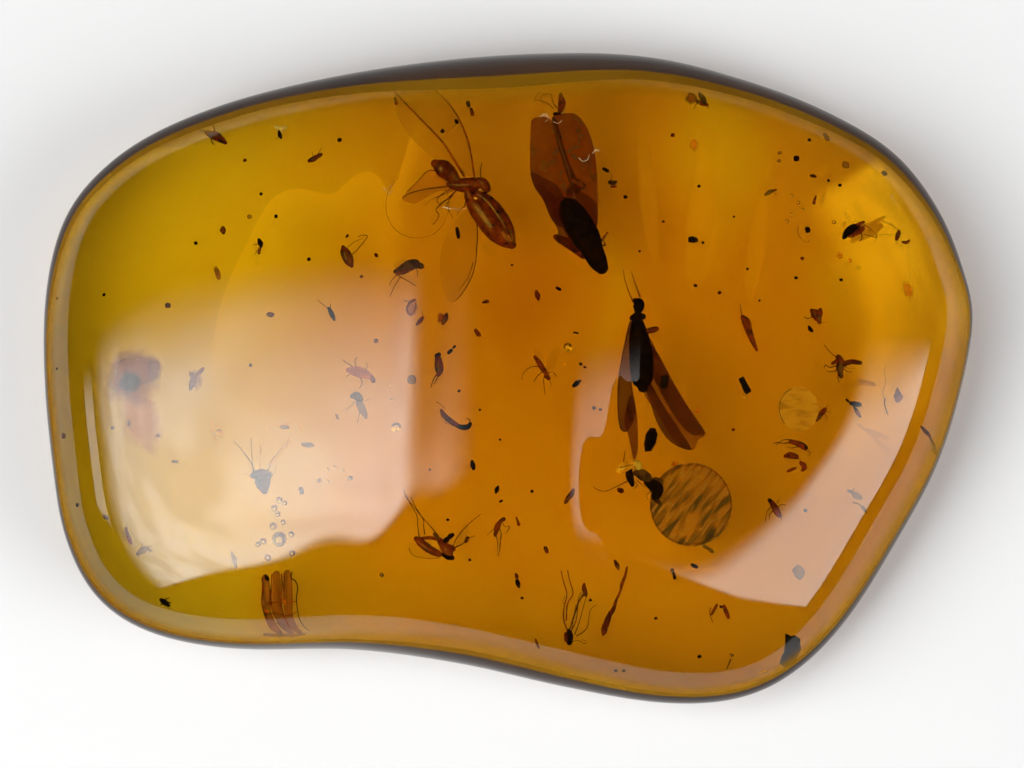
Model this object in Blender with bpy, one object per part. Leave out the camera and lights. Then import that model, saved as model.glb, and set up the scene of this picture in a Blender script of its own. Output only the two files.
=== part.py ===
"""Amber cabochon with insects and debris sealed inside. Lengths are millimetres until MM turns them to metres."""
import math

import bmesh
import bpy
from mathutils import Vector

MM = 0.001

# The stone: a lens with a flat base, lying down, domed face up.
CROWN_HEIGHT = 13.0
CROWN_TOP_X = 3.0
CROWN_TOP_Y = 0.0
CROWN_RADIUS_X = 120.0
CROWN_RADIUS_Y = 70.0
STONE_SIDES = 40
CROWN_RINGS = (0.4, 0.7, 0.86, 0.94, 0.985, 1.0)
PARTING_RINGS = (0.4, 0.75, 1.0)
BEVEL_STEPS = (0.97, 0.8, 0.45, 0.0)

# Rim form at eight compass points, from the right-hand end counter-clockwise. The bevel runs in from the
# girdle to the flat base, and its straightness is the share of its height that climbs evenly.
GIRDLE_HEIGHT = (5.0, 4.8, 4.0, 4.0, 4.0, 4.2, 4.4, 4.6)
BEVEL_WIDTH = (2.2, 4.6, 5.0, 4.5, 2.4, 3.8, 5.2, 4.8)
BEVEL_STRAIGHTNESS = (0.35, 0.55, 0.65, 0.6, 0.4, 0.5, 0.5, 0.5)
SHOULDER_POWER = (9.0, 6.0, 6.0, 6.0, 13.0, 11.0, 6.0, 6.0)

# The surface the stone is parted on, and the air left round the sealed pieces.
PARTING_GAP = 0.3
PARTING_HEIGHT = 6.6
PARTING_WAVE = 0.7
PARTING_WAVE_X = 8.0
PARTING_WAVE_Y = 7.0
POCKET_CLEARANCE = 0.45
POCKET_SIDES = 7
POCKET_BANDS = 4

WING_THICKNESS = 0.16
LEG_WIDTH = 0.16
CHIP_HEIGHT = 0.5

# Plan outline of the stone, counter-clockwise from the right-hand end.
OUTLINE = (
    (27.9, 2.8), (27.4, 6.3), (25.9, 10.0), (23.2, 13.4), (18.9, 15.9), (14.2, 17.65),
    (8.9, 19.0), (3.4, 19.35), (-3.3, 19.0), (-10.4, 18.0), (-17.0, 16.4), (-22.0, 14.3),
    (-25.2, 11.8), (-27.0, 9.0), (-27.85, 4.9), (-27.85, 0.0), (-27.3, -5.2), (-26.5, -9.6),
    (-24.6, -13.2), (-21.4, -15.3), (-16.5, -16.25), (-9.4, -16.3), (-3.0, -17.15), (3.3, -18.55),
    (9.0, -19.5), (13.5, -19.3), (16.9, -17.8), (20.0, -14.8), (23.0, -10.2), (26.0, -4.5),
)

COLOURS = {
    "amber": ((0.62, 0.30, 0.03), 0.08),
    "black_chitin": ((0.03, 0.02, 0.015), 0.45),
    "brown_chitin": ((0.20, 0.07, 0.02), 0.40),
    "red_chitin": ((0.32, 0.09, 0.02), 0.40),
    "grey_chitin": ((0.20, 0.16, 0.15), 0.55),
    "bark": ((0.02, 0.02, 0.02), 0.80),
    "plant_fibre": ((0.22, 0.08, 0.03), 0.70),
}


# ---------------------------------------------------------------- stone surface

def curve_point(before, start, end, after, t):
    """A point on the smooth closed curve between two outline points."""
    point = []
    for a, b, c, d in zip(before, start, end, after):
        slope = (c - a) * t
        bend = (2 * a - 5 * b + 4 * c - d) * t * t
        twist = (3 * b - a - 3 * c + d) * t ** 3
        point.append(0.5 * (2 * b + slope + bend + twist))
    return point


def rim_table():
    """Angle and radius of the plan outline, finely sampled and sorted by angle."""
    table = []
    count = len(OUTLINE)
    for i in range(count):
        neighbours = [OUTLINE[(i + k) % count] for k in (-1, 0, 1, 2)]
        for step in range(24):
            x, y = curve_point(*neighbours, step / 24)
            table.append((math.atan2(y, x) % math.tau, math.hypot(x, y)))
    table.sort()
    return table


RIM = rim_table()


def rim_radius(angle):
    """Radius of the plan outline at an angle."""
    angle = angle % math.tau
    low = (RIM[-1][0] - math.tau, RIM[-1][1])
    for high in RIM + [(RIM[0][0] + math.tau, RIM[0][1])]:
        if high[0] >= angle:
            span = max(high[0] - low[0], 1e-9)
            share = (angle - low[0]) / span
            return low[1] + (high[1] - low[1]) * share
        low = high
    return low[1]


def by_direction(values, angle):
    """Smooth blend of a rim dimension given at the eight compass points."""
    turn = (angle % math.tau) / math.tau * len(values)
    whole = int(turn) % len(values)
    share = turn - int(turn)
    share = share * share * (3 - 2 * share)
    return values[whole] * (1 - share) + values[(whole + 1) % len(values)] * share


def crown_height(x, y):
    """Height of the polished dome, before it turns over at the rim."""
    fall_x = (x - CROWN_TOP_X) ** 2 / (2 * CROWN_RADIUS_X)
    fall_y = (y - CROWN_TOP_Y) ** 2 / (2 * CROWN_RADIUS_Y)
    return CROWN_HEIGHT - fall_x - fall_y


def crown_point(angle, share):
    """A point of the domed face at a share of the rim radius."""
    reach = share * rim_radius(angle)
    x, y = reach * math.cos(angle), reach * math.sin(angle)
    girdle = by_direction(GIRDLE_HEIGHT, angle) + PARTING_GAP / 2
    power = by_direction(SHOULDER_POWER, angle)
    return x, y, girdle + (crown_height(x, y) - girdle) * math.sqrt(1 - share ** power)


def bevel_point(angle, share):
    """A point of the undercut between the girdle (share 1) and the flat base (share 0)."""
    reach = rim_radius(angle) - by_direction(BEVEL_WIDTH, angle) * (1 - share)
    girdle = by_direction(GIRDLE_HEIGHT, angle) - PARTING_GAP / 2
    straight = by_direction(BEVEL_STRAIGHTNESS, angle)
    round_part = 1 - math.sqrt(1 - share * share)
    height = girdle * (straight * share + (1 - straight) * round_part)
    return reach * math.cos(angle), reach * math.sin(angle), height


def parting_height(x, y):
    """Height of the wavy parting surface, which meets the girdle at the rim."""
    angle = math.atan2(y, x)
    share = min(1.0, math.hypot(x, y) / rim_radius(angle)) ** 4
    wave = math.sin(x / PARTING_WAVE_X) * math.cos(y / PARTING_WAVE_Y)
    inside = PARTING_HEIGHT + PARTING_WAVE * wave
    return inside + (by_direction(GIRDLE_HEIGHT, angle) - inside) * share


def parting_point(angle, share, offset):
    """A point of one parting face, half the gap above or below the parting surface."""
    reach = share * rim_radius(angle)
    x, y = reach * math.cos(angle), reach * math.sin(angle)
    return x, y, parting_height(x, y) + offset


def stone_angles():
    return [math.tau * i / STONE_SIDES for i in range(STONE_SIDES)]


def lathe_faces(ring_count, closed_start, closed_end):
    """Faces that join rings of points, with a fan or a flat cap at each end."""
    faces = []
    n = STONE_SIDES
    for ring in range(ring_count - 1):
        for i in range(n):
            j = (i + 1) % n
            faces.append((ring * n + i, ring * n + j, (ring + 1) * n + j, (ring + 1) * n + i))
    last = (ring_count - 1) * n
    extra = ring_count * n
    for is_fan, start in ((closed_start, 0), (closed_end, last)):
        if is_fan:
            faces.extend((start + i, start + (i + 1) % n, extra) for i in range(n))
            extra += 1
        else:
            faces.append(tuple(start + i for i in range(n)))
    return faces


def upper_half_shape():
    """Domed face down to the girdle, then back across the parting face."""
    half_gap = PARTING_GAP / 2
    rings = [[crown_point(a, share) for a in stone_angles()] for share in CROWN_RINGS]
    for share in reversed(PARTING_RINGS[:-1]):
        rings.append([parting_point(a, share, half_gap) for a in stone_angles()])
    points = [point for ring in rings for point in ring]
    points.append((0.0, 0.0, crown_height(0.0, 0.0)))
    points.append((0.0, 0.0, parting_height(0.0, 0.0) + half_gap))
    return points, lathe_faces(len(rings), True, True)


def lower_half_shape():
    """Parting face out to the girdle, then down the bevel to the flat base."""
    half_gap = PARTING_GAP / 2
    rings = []
    for share in PARTING_RINGS:
        rings.append([parting_point(a, share, -half_gap) for a in stone_angles()])
    for share in BEVEL_STEPS:
        rings.append([bevel_point(a, share) for a in stone_angles()])
    points = [point for ring in rings for point in ring]
    points.append((0.0, 0.0, parting_height(0.0, 0.0) - half_gap))
    return points, lathe_faces(len(rings), True, False)


# ---------------------------------------------------------------- small shapes

def ball(centre, radii, turn=0.0, sides=6, bands=3):
    """A faceted ellipsoid, turned about the vertical by degrees."""
    c, s = math.cos(math.radians(turn)), math.sin(math.radians(turn))
    height = centre[2] if len(centre) > 2 else 0.0

    def place(x, y, z):
        return centre[0] + x * c - y * s, centre[1] + x * s + y * c, height + z

    points = [place(radii[0], 0.0, 0.0)]
    for band in range(1, bands):
        lean = math.pi * band / bands
        for i in range(sides):
            around = math.tau * (i + 0.5) / sides
            y = radii[1] * math.sin(lean) * math.cos(around)
            z = radii[2] * math.sin(lean) * math.sin(around)
            points.append(place(radii[0] * math.cos(lean), y, z))
    points.append(place(-radii[0], 0.0, 0.0))
    faces = [(0, 1 + i, 1 + (i + 1) % sides) for i in range(sides)]
    for band in range(bands - 2):
        row = 1 + band * sides
        for i in range(sides):
            j = (i + 1) % sides
            faces.append((row + i, row + sides + i, row + sides + j, row + j))
    row = 1 + (bands - 2) * sides
    end = len(points) - 1
    faces.extend((row + i, end, row + (i + 1) % sides) for i in range(sides))
    return points, faces


def plate(outline, height=0.0, thickness=WING_THICKNESS, slope=(0.0, 0.0)):
    """A flat plate with a plan outline, level or sloping, such as a wing."""
    points = []
    for lift in (-thickness / 2, thickness / 2):
        for x, y in outline:
            points.append((x, y, height + lift + x * slope[0] + y * slope[1]))
    n = len(outline)
    faces = [tuple(reversed(range(n))), tuple(range(n, 2 * n))]
    for i in range(n):
        j = (i + 1) % n
        faces.append((i, j, n + j, n + i))
    return points, faces


def limb(path, width=LEG_WIDTH):
    """A three-sided rod along a path: a leg, a feeler or a stalk."""
    path = [Vector(p if len(p) > 2 else (p[0], p[1], 0.0)) for p in path]
    points = []
    for i, point in enumerate(path):
        ahead = path[min(i + 1, len(path) - 1)] - path[max(i - 1, 0)]
        side = Vector((-ahead.y, ahead.x, 0.0)).normalized() * width / 2
        points.append(point + side - Vector((0, 0, width * 0.4)))
        points.append(point - side - Vector((0, 0, width * 0.4)))
        points.append(point + Vector((0, 0, width * 0.5)))
    faces = [(0, 1, 2)]
    for i in range(len(path) - 1):
        a, b = 3 * i, 3 * i + 3
        for k in range(3):
            m = (k + 1) % 3
            faces.append((a + k, b + k, b + m, a + m))
    end = 3 * (len(path) - 1)
    faces.append((end + 2, end + 1, end))
    return [tuple(p) for p in points], faces


def slab(outline, height=CHIP_HEIGHT, taper=0.8):
    """A chip of debris: a thick plate that narrows a little towards its top and base."""
    cx = sum(p[0] for p in outline) / len(outline)
    cy = sum(p[1] for p in outline) / len(outline)
    points = []
    for level, share in ((-0.5, taper), (0.0, 1.0), (0.5, taper)):
        for x, y in outline:
            points.append((cx + (x - cx) * share, cy + (y - cy) * share, level * height))
    n = len(outline)
    faces = [tuple(reversed(range(n))), tuple(range(2 * n, 3 * n))]
    for ring in (0, n):
        for i in range(n):
            j = (i + 1) % n
            faces.append((ring + i, ring + j, ring + n + j, ring + n + i))
    return points, faces


# ---------------------------------------------------------------- objects

def make_material(name):
    colour, roughness = COLOURS[name]
    material = bpy.data.materials.get(name) or bpy.data.materials.new(name)
    material.use_nodes = True
    shader = material.node_tree.nodes["Principled BSDF"]
    shader.inputs["Base Color"].default_value = (*colour, 1.0)
    shader.inputs["Roughness"].default_value = roughness
    shader.inputs["Metallic"].default_value = 0.0
    material.diffuse_color = (*colour, 1.0)
    return material


def make_object(name, shape, at=(0.0, 0.0, 0.0)):
    """An object from points and faces, with every face turned outward."""
    points, faces = shape
    mesh = bpy.data.meshes.new(name)
    place = Vector(at)
    mesh.from_pydata([Vector(p) + place for p in points], [], faces)
    body = bmesh.new()
    body.from_mesh(mesh)
    bmesh.ops.recalc_face_normals(body, faces=body.faces)
    body.to_mesh(mesh)
    body.free()
    obj = bpy.data.objects.new(name, mesh)
    bpy.context.scene.collection.objects.link(obj)
    return obj


def combine(obj, others, operation):
    """Join or cut an object with others in one step and keep the single result."""
    group = bpy.data.collections.new("operands")
    bpy.context.scene.collection.children.link(group)
    for other in others:
        other.hide_render = True
        other.display_type = "WIRE"
        bpy.context.scene.collection.objects.unlink(other)
        group.objects.link(other)
    step = obj.modifiers.new("combine", "BOOLEAN")
    step.operation = operation
    step.solver = "EXACT"
    step.operand_type = "COLLECTION"
    step.collection = group
    step.use_self = True
    result = obj.evaluated_get(bpy.context.evaluated_depsgraph_get())
    mesh = bpy.data.meshes.new_from_object(result)
    obj.modifiers.clear()
    obj.data = mesh
    for other in others:
        bpy.data.objects.remove(other)
    bpy.data.collections.remove(group)


def fuse(name, material, at, shapes):
    """One sealed piece: its shapes joined to a single body centred on the parting surface."""
    place = (at[0], at[1], parting_height(at[0], at[1]))
    parts = [make_object(name + "_shape", shape, place) for shape in shapes]
    whole = parts[0]
    whole.name = name
    if len(parts) > 1:
        combine(whole, parts[1:], "UNION")
    whole.data.name = name
    whole.data.materials.clear()
    whole.data.materials.append(make_material(material))
    return whole


def pocket_for(piece, turn):
    """An ellipsoid that holds a sealed piece with the clearance all round."""
    c, s = math.cos(math.radians(turn)), math.sin(math.radians(turn))
    local = []
    for vertex in piece.data.vertices:
        x, y, z = vertex.co
        local.append((x * c + y * s, y * c - x * s, z))
    low = [min(p[k] for p in local) for k in range(3)]
    high = [max(p[k] for p in local) for k in range(3)]
    middle = [(a + b) / 2 for a, b in zip(low, high)]
    half = [max((b - a) / 2, 0.1) for a, b in zip(low, high)]
    grow = 0.0
    for point in local:
        share = sum(((point[k] - middle[k]) / half[k]) ** 2 for k in range(3))
        grow = max(grow, math.sqrt(share))
    flat = 1 / math.cos(math.pi / POCKET_SIDES)
    radii = [(half[k] * grow + POCKET_CLEARANCE) * flat for k in range(3)]
    centre = (middle[0] * c - middle[1] * s, middle[0] * s + middle[1] * c, middle[2])
    shape = ball(centre, radii, turn, POCKET_SIDES, POCKET_BANDS)
    return make_object("pocket_cutter", shape)


def make_half(name, shape, pieces):
    """One half of the stone, with a recess for every sealed piece."""
    half = make_object(name, shape)
    combine(half, [pocket_for(piece, turn) for piece, turn in pieces], "DIFFERENCE")
    half.data.name = name
    half.data.materials.clear()
    half.data.materials.append(make_material("amber"))
    return half


def finish_piece(obj):
    """Turn millimetres to metres, with the origin under the middle of the piece at its lowest height."""
    points = [vertex.co for vertex in obj.data.vertices]
    x = (min(p.x for p in points) + max(p.x for p in points)) / 2
    y = (min(p.y for p in points) + max(p.y for p in points)) / 2
    z = min(p.z for p in points)
    shift = Vector((x, y, z))
    for vertex in obj.data.vertices:
        vertex.co = (vertex.co - shift) * MM
    obj.location = shift * MM


# ---------------------------------------------------------------- insects

def spread_wing_beetle():
    """A beetle with its wing cases open and its long hind wings drawn out."""
    upper_wing = ((-4.5, 5.3), (-3.6, 5.7), (-2.5, 5.7), (-1.7, 5.3), (-0.9, 4.6), (-0.3, 3.6),
                  (0.05, 2.3), (0.3, 0.8), (-0.5, 0.8), (-1.4, 2.8), (-2.6, 3.6))
    lower_wing = ((-2.0, -0.8), (-0.6, 0.2), (0.5, -2.0), (0.4, -4.2), (-0.1, -5.5),
                  (-0.8, -6.2), (-1.6, -5.0), (-2.1, -3.0))
    fan_wing = ((-4.0, -0.3), (-3.5, 0.6), (-2.7, 1.5), (-1.5, 1.3), (-0.2, 0.7), (-2.0, 0.3))
    return fuse("spread_wing_beetle", "brown_chitin", (-2.25, 10.2), [
        ball((0.1, 0.6), (0.95, 0.42, 0.42)),
        ball((0.85, 0.7), (0.42, 0.36, 0.36), 0),
        ball((0.3, 0.1), (0.45, 0.4, 0.36), -50),
        ball((1.34, -1.36), (2.05, 0.78, 0.55), -52.5, 8, 4),
        ball((-1.35, 1.5), (0.95, 0.42, 0.35), -38),
        plate(upper_wing, 0.1),
        plate(lower_wing, -0.1),
        plate(fan_wing, 0.02),
        limb(((-0.4, 0.4), (-1.2, -0.3), (-1.9, -1.5))),
    ])


def broad_winged_insect():
    """A dark insect with two broad closed wings, seen from its back."""
    left_wing = ((-2.1, 3.3), (-1.9, 3.8), (-1.0, 3.9), (-0.4, 3.4), (0.5, 1.0), (0.8, -2.4),
                 (-0.5, -3.6), (-0.6, -3.0), (-1.3, -1.3), (-2.1, 0.0), (-2.2, 1.6))
    right_wing = ((-0.5, 3.5), (0.2, 4.1), (0.9, 3.7), (1.4, 2.6), (1.75, 1.0), (1.85, -0.8),
                  (1.8, -3.0), (0.9, -2.8), (0.0, -0.4))
    return fuse("broad_winged_insect", "brown_chitin", (3.41, 11.0), [
        ball((0.95, -2.6), (2.6, 0.72, 0.6), -62, 8, 4),
        ball((2.0, -4.8), (0.55, 0.5, 0.45), -62),
        plate(left_wing, 0.0, 0.2),
        plate(right_wing, 0.12, 0.2),
        limb(((1.4, -3.3), (2.1, -3.35), (2.5, -2.9)), 0.2),
    ])


def gnat(name, at, turn, size, material="red_chitin", wings=1.0):
    """A small two-winged fly: head, thorax, abdomen, two wings and four legs."""
    c, s = math.cos(math.radians(turn)), math.sin(math.radians(turn))

    def spot(x, y, z=0.0):
        return size * (x * c - y * s), size * (x * s + y * c), size * z

    shapes = [
        ball(spot(-0.16, 0.0), (size * 0.36, size * 0.12, size * 0.13), turn, 5, 3),
        ball(spot(0.24, 0.0, 0.01), (size * 0.22, size * 0.13, size * 0.15), turn, 5, 3),
    ]
    width = max(0.11, size * 0.06)
    for side in (1, -1):
        tip = 0.42 * wings * side
        wing = (spot(0.18, 0.02 * side), spot(0.08, 0.4 * tip), spot(-0.42, tip), spot(-0.5, 0.6 * tip),
                spot(0.0, 0.03 * side))
        outline = [point[:2] for point in wing]
        if wings > 0.0:
            shapes.append(plate(outline, size * (0.05 + 0.013 * side), max(0.1, 0.06 * size)))
    for start, foot, drop in ((0.2, 0.55, -0.05), (0.02, -0.12, -0.04)):
        leg = (spot(foot, 0.5, drop), spot(start, 0.0, drop), spot(foot + 0.03, -0.48, drop))
        shapes.append(limb(leg, width))
    return fuse(name, material, at, shapes)


def long_winged_insect():
    """A slender insect with long wings that part behind its body."""
    left_wing = ((-0.5, 1.9), (-1.1, 0.0), (-1.4, -1.9), (-1.35, -3.6), (-1.2, -4.4), (-0.8, -4.6),
                 (-0.4, -5.7), (-0.2, -3.6), (0.0, -1.0))
    right_wing = ((0.5, 0.8), (1.3, -0.85), (2.9, -3.2), (3.9, -4.7), (3.3, -4.85), (2.6, -4.6),
                  (0.3, -1.6))
    inner_wing = ((0.0, -1.0), (0.6, -3.2), (1.1, -4.6), (1.9, -5.5), (3.0, -5.6), (2.7, -4.9),
                  (1.7, -3.0), (0.9, -1.0))
    return fuse("long_winged_insect", "black_chitin", (7.94, 0.9), [
        ball((0.0, 0.0), (2.0, 0.68, 0.55), 92, 8, 4),
        ball((-0.05, 2.15), (0.55, 0.5, 0.32), 0),
        ball((0.0, 2.95), (0.62, 0.42, 0.38), 90),
        plate(left_wing, 0.0, 0.18),
        plate(right_wing, 0.12, 0.18),
        plate(inner_wing, -0.08, 0.18),
        limb(((0.2, 1.4), (0.9, 1.5)), 0.3),
        limb(((0.0, 3.0), (-0.5, 4.3, 0.1)), 0.12),
        limb(((0.1, 3.0), (0.1, 4.4, -0.1)), 0.12),
    ])


def ant():
    """An ant with pale air-silvered lobes on its head and a long bent feeler."""
    return fuse("ant", "black_chitin", (7.66, -6.34), [
        ball((-0.6, 0.2), (0.30, 0.5, 0.34), 15),
        ball((-0.85, 0.7), (0.5, 0.32, 0.3), 12),
        ball((-0.35, 0.8), (0.42, 0.3, 0.28), -10),
        ball((0.05, 0.3), (0.5, 0.32, 0.34), -20),
        ball((0.8, -0.33), (0.65, 0.45, 0.4), -35),
        ball((0.92, -0.8), (0.5, 0.24, 0.22), -75),
        limb(((-0.6, 0.0), (-1.5, -0.35), (-2.3, -0.6), (-2.75, -0.35)), 0.12),
        limb(((-0.9, 0.8), (-0.95, 1.25), (-0.9, 1.75)), 0.12),
    ])


def mosquito_fly():
    """A long-legged fly with narrow rounded wings held apart."""
    left_wing = ((0.7, -0.3), (-0.2, -0.05), (-1.3, -0.2), (-1.6, -0.5), (-1.3, -0.8), (-0.3, -0.85))
    right_wing = ((1.0, 0.0), (1.15, 0.8), (1.6, 1.4), (2.0, 1.3), (2.0, 0.7), (1.5, 0.2))
    return fuse("mosquito_fly", "brown_chitin", (-4.42, -10.0), [
        ball((-0.35, -0.05), (1.0, 0.2, 0.22), -28),
        ball((0.8, -0.3), (0.42, 0.36, 0.34), 30),
        ball((1.15, -0.55), (0.24, 0.22, 0.22), 0),
        ball((0.85, 0.35), (0.42, 0.17, 0.18), 45),
        plate(left_wing, -0.05, 0.12),
        plate(right_wing, 0.05, 0.12),
        limb(((0.6, -0.1), (-0.6, 0.5), (-1.05, 1.9), (-1.75, 3.0))),
        limb(((0.5, 0.0), (-0.1, 0.9), (-0.7, 1.6), (-1.4, 2.9))),
        limb(((1.1, -0.3), (1.7, 0.8), (2.7, 1.8))),
        limb(((0.9, -0.3), (1.6, -0.1), (2.4, 0.4))),
    ])


def crane_fly():
    """A thin fly with legs stretched along its body."""
    return fuse("crane_fly", "brown_chitin", (3.95, -13.7), [
        ball((-0.35, -0.6), (0.8, 0.16, 0.18), 75),
        ball((0.05, 0.6), (0.75, 0.2, 0.2), 72),
        ball((0.35, 1.3), (0.22, 0.2, 0.2), 0),
        limb(((0.2, 1.0), (0.75, 0.3), (0.8, -0.9))),
        limb(((0.1, 0.9), (-0.5, 0.6), (-0.8, -0.6), (-0.6, -1.5))),
        plate(((0.15, 0.8), (0.45, 0.0), (0.3, -1.2), (0.0, -1.1), (-0.05, 0.2)), 0.0, 0.12),
    ])


def hump_fly():
    """A hump-backed fly with its hind legs trailing."""
    return fuse("hump_fly", "grey_chitin", (-5.86, 5.9), [
        ball((0.15, 0.15), (0.7, 0.36, 0.36), 25),
        ball((0.95, 0.45), (0.24, 0.2, 0.2), 0),
        ball((-0.65, -0.15), (0.55, 0.3, 0.3), 20),
        plate(((0.3, 0.3), (-0.5, 0.5), (-1.2, 0.45), (-1.3, 0.2), (-0.2, 0.0)), 0.1, 0.12),
        limb(((-0.3, -0.2), (-0.7, -0.7), (0.1, -1.1))),
        limb(((-0.5, -0.3), (-1.0, -0.8), (-1.4, -1.5))),
        limb(((0.4, 0.0), (0.55, -0.55), (0.75, -0.75))),
    ])


def small_beetle():
    """A small oval beetle with two legs trailing behind."""
    return fuse("small_beetle", "grey_chitin", (-4.1, 0.35), [
        ball((0.0, 0.0), (0.72, 0.34, 0.34), 82, 6, 4),
        ball((-0.05, 0.66), (0.2, 0.24, 0.2), 90),
        limb(((-0.05, -0.5), (-0.35, -0.95), (-0.5, -1.4))),
        limb(((0.05, -0.5), (0.3, -0.85))),
    ])


def larva():
    """A curved grub."""
    return fuse("larva", "grey_chitin", (-3.06, -2.7), [
        ball((-0.55, 0.2), (0.55, 0.16, 0.18), -40),
        ball((0.1, -0.2), (0.5, 0.2, 0.22), -8),
        ball((0.6, -0.2), (0.24, 0.22, 0.2), 40),
        limb(((0.65, -0.15), (0.75, 0.15), (0.5, 0.3)), 0.16),
    ])


def mite():
    """A long-legged mite."""
    return fuse("mite", "grey_chitin", (-14.45, -6.4), [
        ball((0.0, -0.1), (0.55, 0.4, 0.34), 90),
        limb(((0.0, 0.2), (-0.6, 0.9), (-1.3, 1.9))),
        limb(((0.0, 0.2), (0.5, 1.0), (1.3, 2.0))),
        limb(((-0.1, 0.2), (-0.2, 1.3), (-0.5, 2.3))),
    ])


def oval_beetle():
    """A smooth oval beetle with a small head."""
    return fuse("oval_beetle", "brown_chitin", (-9.55, 6.8), [
        ball((0.0, 0.0), (0.58, 0.33, 0.3), 112, 6, 4),
        ball((-0.22, 0.5), (0.2, 0.2, 0.18), 0),
        limb(((0.1, 0.2), (0.5, 0.6), (0.9, 0.75))),
    ])


# ---------------------------------------------------------------- debris

def twig():
    """A thin bent twig."""
    path = ((0.75, 1.85), (0.45, 0.9), (0.2, 0.2), (-0.25, -0.7), (-0.7, -1.9))
    return fuse("twig", "plant_fibre", (6.2, -13.3), [limb(path, 0.3)])


def fibre_bundle():
    """Short parallel tubes of plant tissue, side by side, bound by a cross piece."""
    return fuse("fibre_bundle", "plant_fibre", (-13.4, -12.7), [
        limb(((-0.95, 0.8), (-0.85, 0.2), (-0.9, -0.4), (-0.85, -1.0)), 0.34),
        limb(((-0.35, 1.5), (-0.25, 0.5), (-0.3, -0.6), (-0.25, -1.5)), 0.36),
        limb(((0.3, 1.4), (0.35, 0.5), (0.25, -0.7), (0.35, -1.5)), 0.36),
        limb(((0.85, 0.9), (0.9, 0.3), (0.85, -0.4), (0.9, -1.0)), 0.34),
        limb(((-1.0, 0.3), (1.0, 0.2)), 0.24),
        limb(((-1.0, -0.6), (1.0, -0.7)), 0.24),
    ])


def dark_clot():
    """A lumpy dark clot with a trailing tail."""
    return fuse("dark_clot", "red_chitin", (-22.2, -0.2), [
        ball((0.0, 0.0), (0.85, 0.75, 0.5), 20),
        ball((0.75, 0.55), (0.6, 0.45, 0.4), 10),
        ball((0.15, -1.0), (0.55, 0.7, 0.35), 70),
        ball((0.6, -2.0), (0.75, 0.35, 0.3), -65),
    ])


def red_spindle():
    """A tapering reddish splinter."""
    return fuse("red_spindle", "red_chitin", (14.0, 2.3), [ball((0, 0), (1.0, 0.24, 0.24), -70)])


def debris_chips():
    """Dark chips of bark, each with its own broken outline."""
    chips = (
        ("corner_chip", (16.0, -15.3), ((-0.45, -0.7), (0.1, -0.8), (0.45, -0.2), (0.4, 0.7), (-0.1, 0.8),
                                        (-0.35, 0.2))),
        ("long_chip", (13.72, -0.84), ((-0.05, -0.55), (0.3, -0.45), (0.05, 0.5), (-0.3, 0.4))),
        ("square_chip", (10.8, 7.7), ((-0.3, -0.25), (0.3, -0.2), (0.35, 0.2), (-0.25, 0.3))),
        ("oval_chip", (8.6, -4.6), ((-0.42, -0.5), (-0.05, -0.72), (0.25, -0.4), (0.42, 0.35), (0.2, 0.72),
                                    (-0.2, 0.5))),
        ("jagged_chip", (-5.68, -0.5), ((-0.27, -0.2), (0.2, -0.3), (0.27, 0.1), (0.05, 0.35), (-0.2, 0.2))),
        ("grey_chip", (16.9, -11.6), ((-0.3, -0.1), (0.15, -0.35), (0.4, -0.05), (-0.05, 0.4), (-0.4, 0.2))),
    )
    return [fuse(name, "bark", at, [slab(outline)]) for name, at, outline in chips]


def sealed_pieces():
    """Every sealed piece with the turn of its pocket."""
    pieces = [
        (spread_wing_beetle(), 75),
        (broad_winged_insect(), -70),
        (long_winged_insect(), -70),
        (ant(), -25),
        (mosquito_fly(), 10),
        (crane_fly(), 75),
        (hump_fly(), 30),
        (small_beetle(), 80),
        (larva(), -10),
        (mite(), 90),
        (oval_beetle(), 100),
        (gnat("brow_gnat", (2.4, 15.3), -70, 1.6), -70),
        (gnat("centre_gnat", (1.9, 0.3), -60, 1.9), -60),
        (gnat("midge", (-0.45, -9.2), 75, 2.3, wings=0.4), 75),
        (gnat("right_fly", (20.3, 8.3), -160, 1.8, "brown_chitin"), 20),
        (gnat("heart_fly", (18.0, 3.2), 95, 1.8, "brown_chitin"), 95),
        (gnat("cross_fly", (19.4, 0.55), 10, 1.7, "black_chitin", 1.3), 10),
        (gnat("disc_fly", (18.25, -2.5), 60, 1.1, "black_chitin"), 60),
        (gnat("tangled_fly", (16.85, -4.5), 150, 1.9), 150),
        (gnat("low_fly", (15.6, -7.9), 70, 1.3, "black_chitin"), 70),
        (gnat("far_left_fly", (-18.4, -0.5), 20, 1.6, "grey_chitin"), 20),
        (gnat("left_fly", (-8.5, 0.1), 60, 1.6, "red_chitin"), 60),
        (gnat("top_left_fly", (-17.5, 13.5), 150, 1.5, "black_chitin"), 150),
        (twig(), 68),
        (fibre_bundle(), 90),
        (dark_clot(), -70),
        (red_spindle(), -70),
    ]
    pieces.extend((chip, 75) for chip in debris_chips())
    return pieces


def main():
    for obj in list(bpy.data.objects):
        bpy.data.objects.remove(obj)
    pieces = sealed_pieces()
    lower = make_half("amber_lower_half", lower_half_shape(), pieces)
    upper = make_half("amber_upper_half", upper_half_shape(), pieces)
    for obj in [lower, upper] + [piece for piece, turn in pieces]:
        finish_piece(obj)


main()
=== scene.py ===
"""Insect in amber: the finished look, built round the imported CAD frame.

Lengths are millimetres, except for the studio's panels, and become metres where a mesh or the camera is made.
Places inside the stone are given as they show through the dome, and seen() finds where they truly lie.
"""

import math

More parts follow.
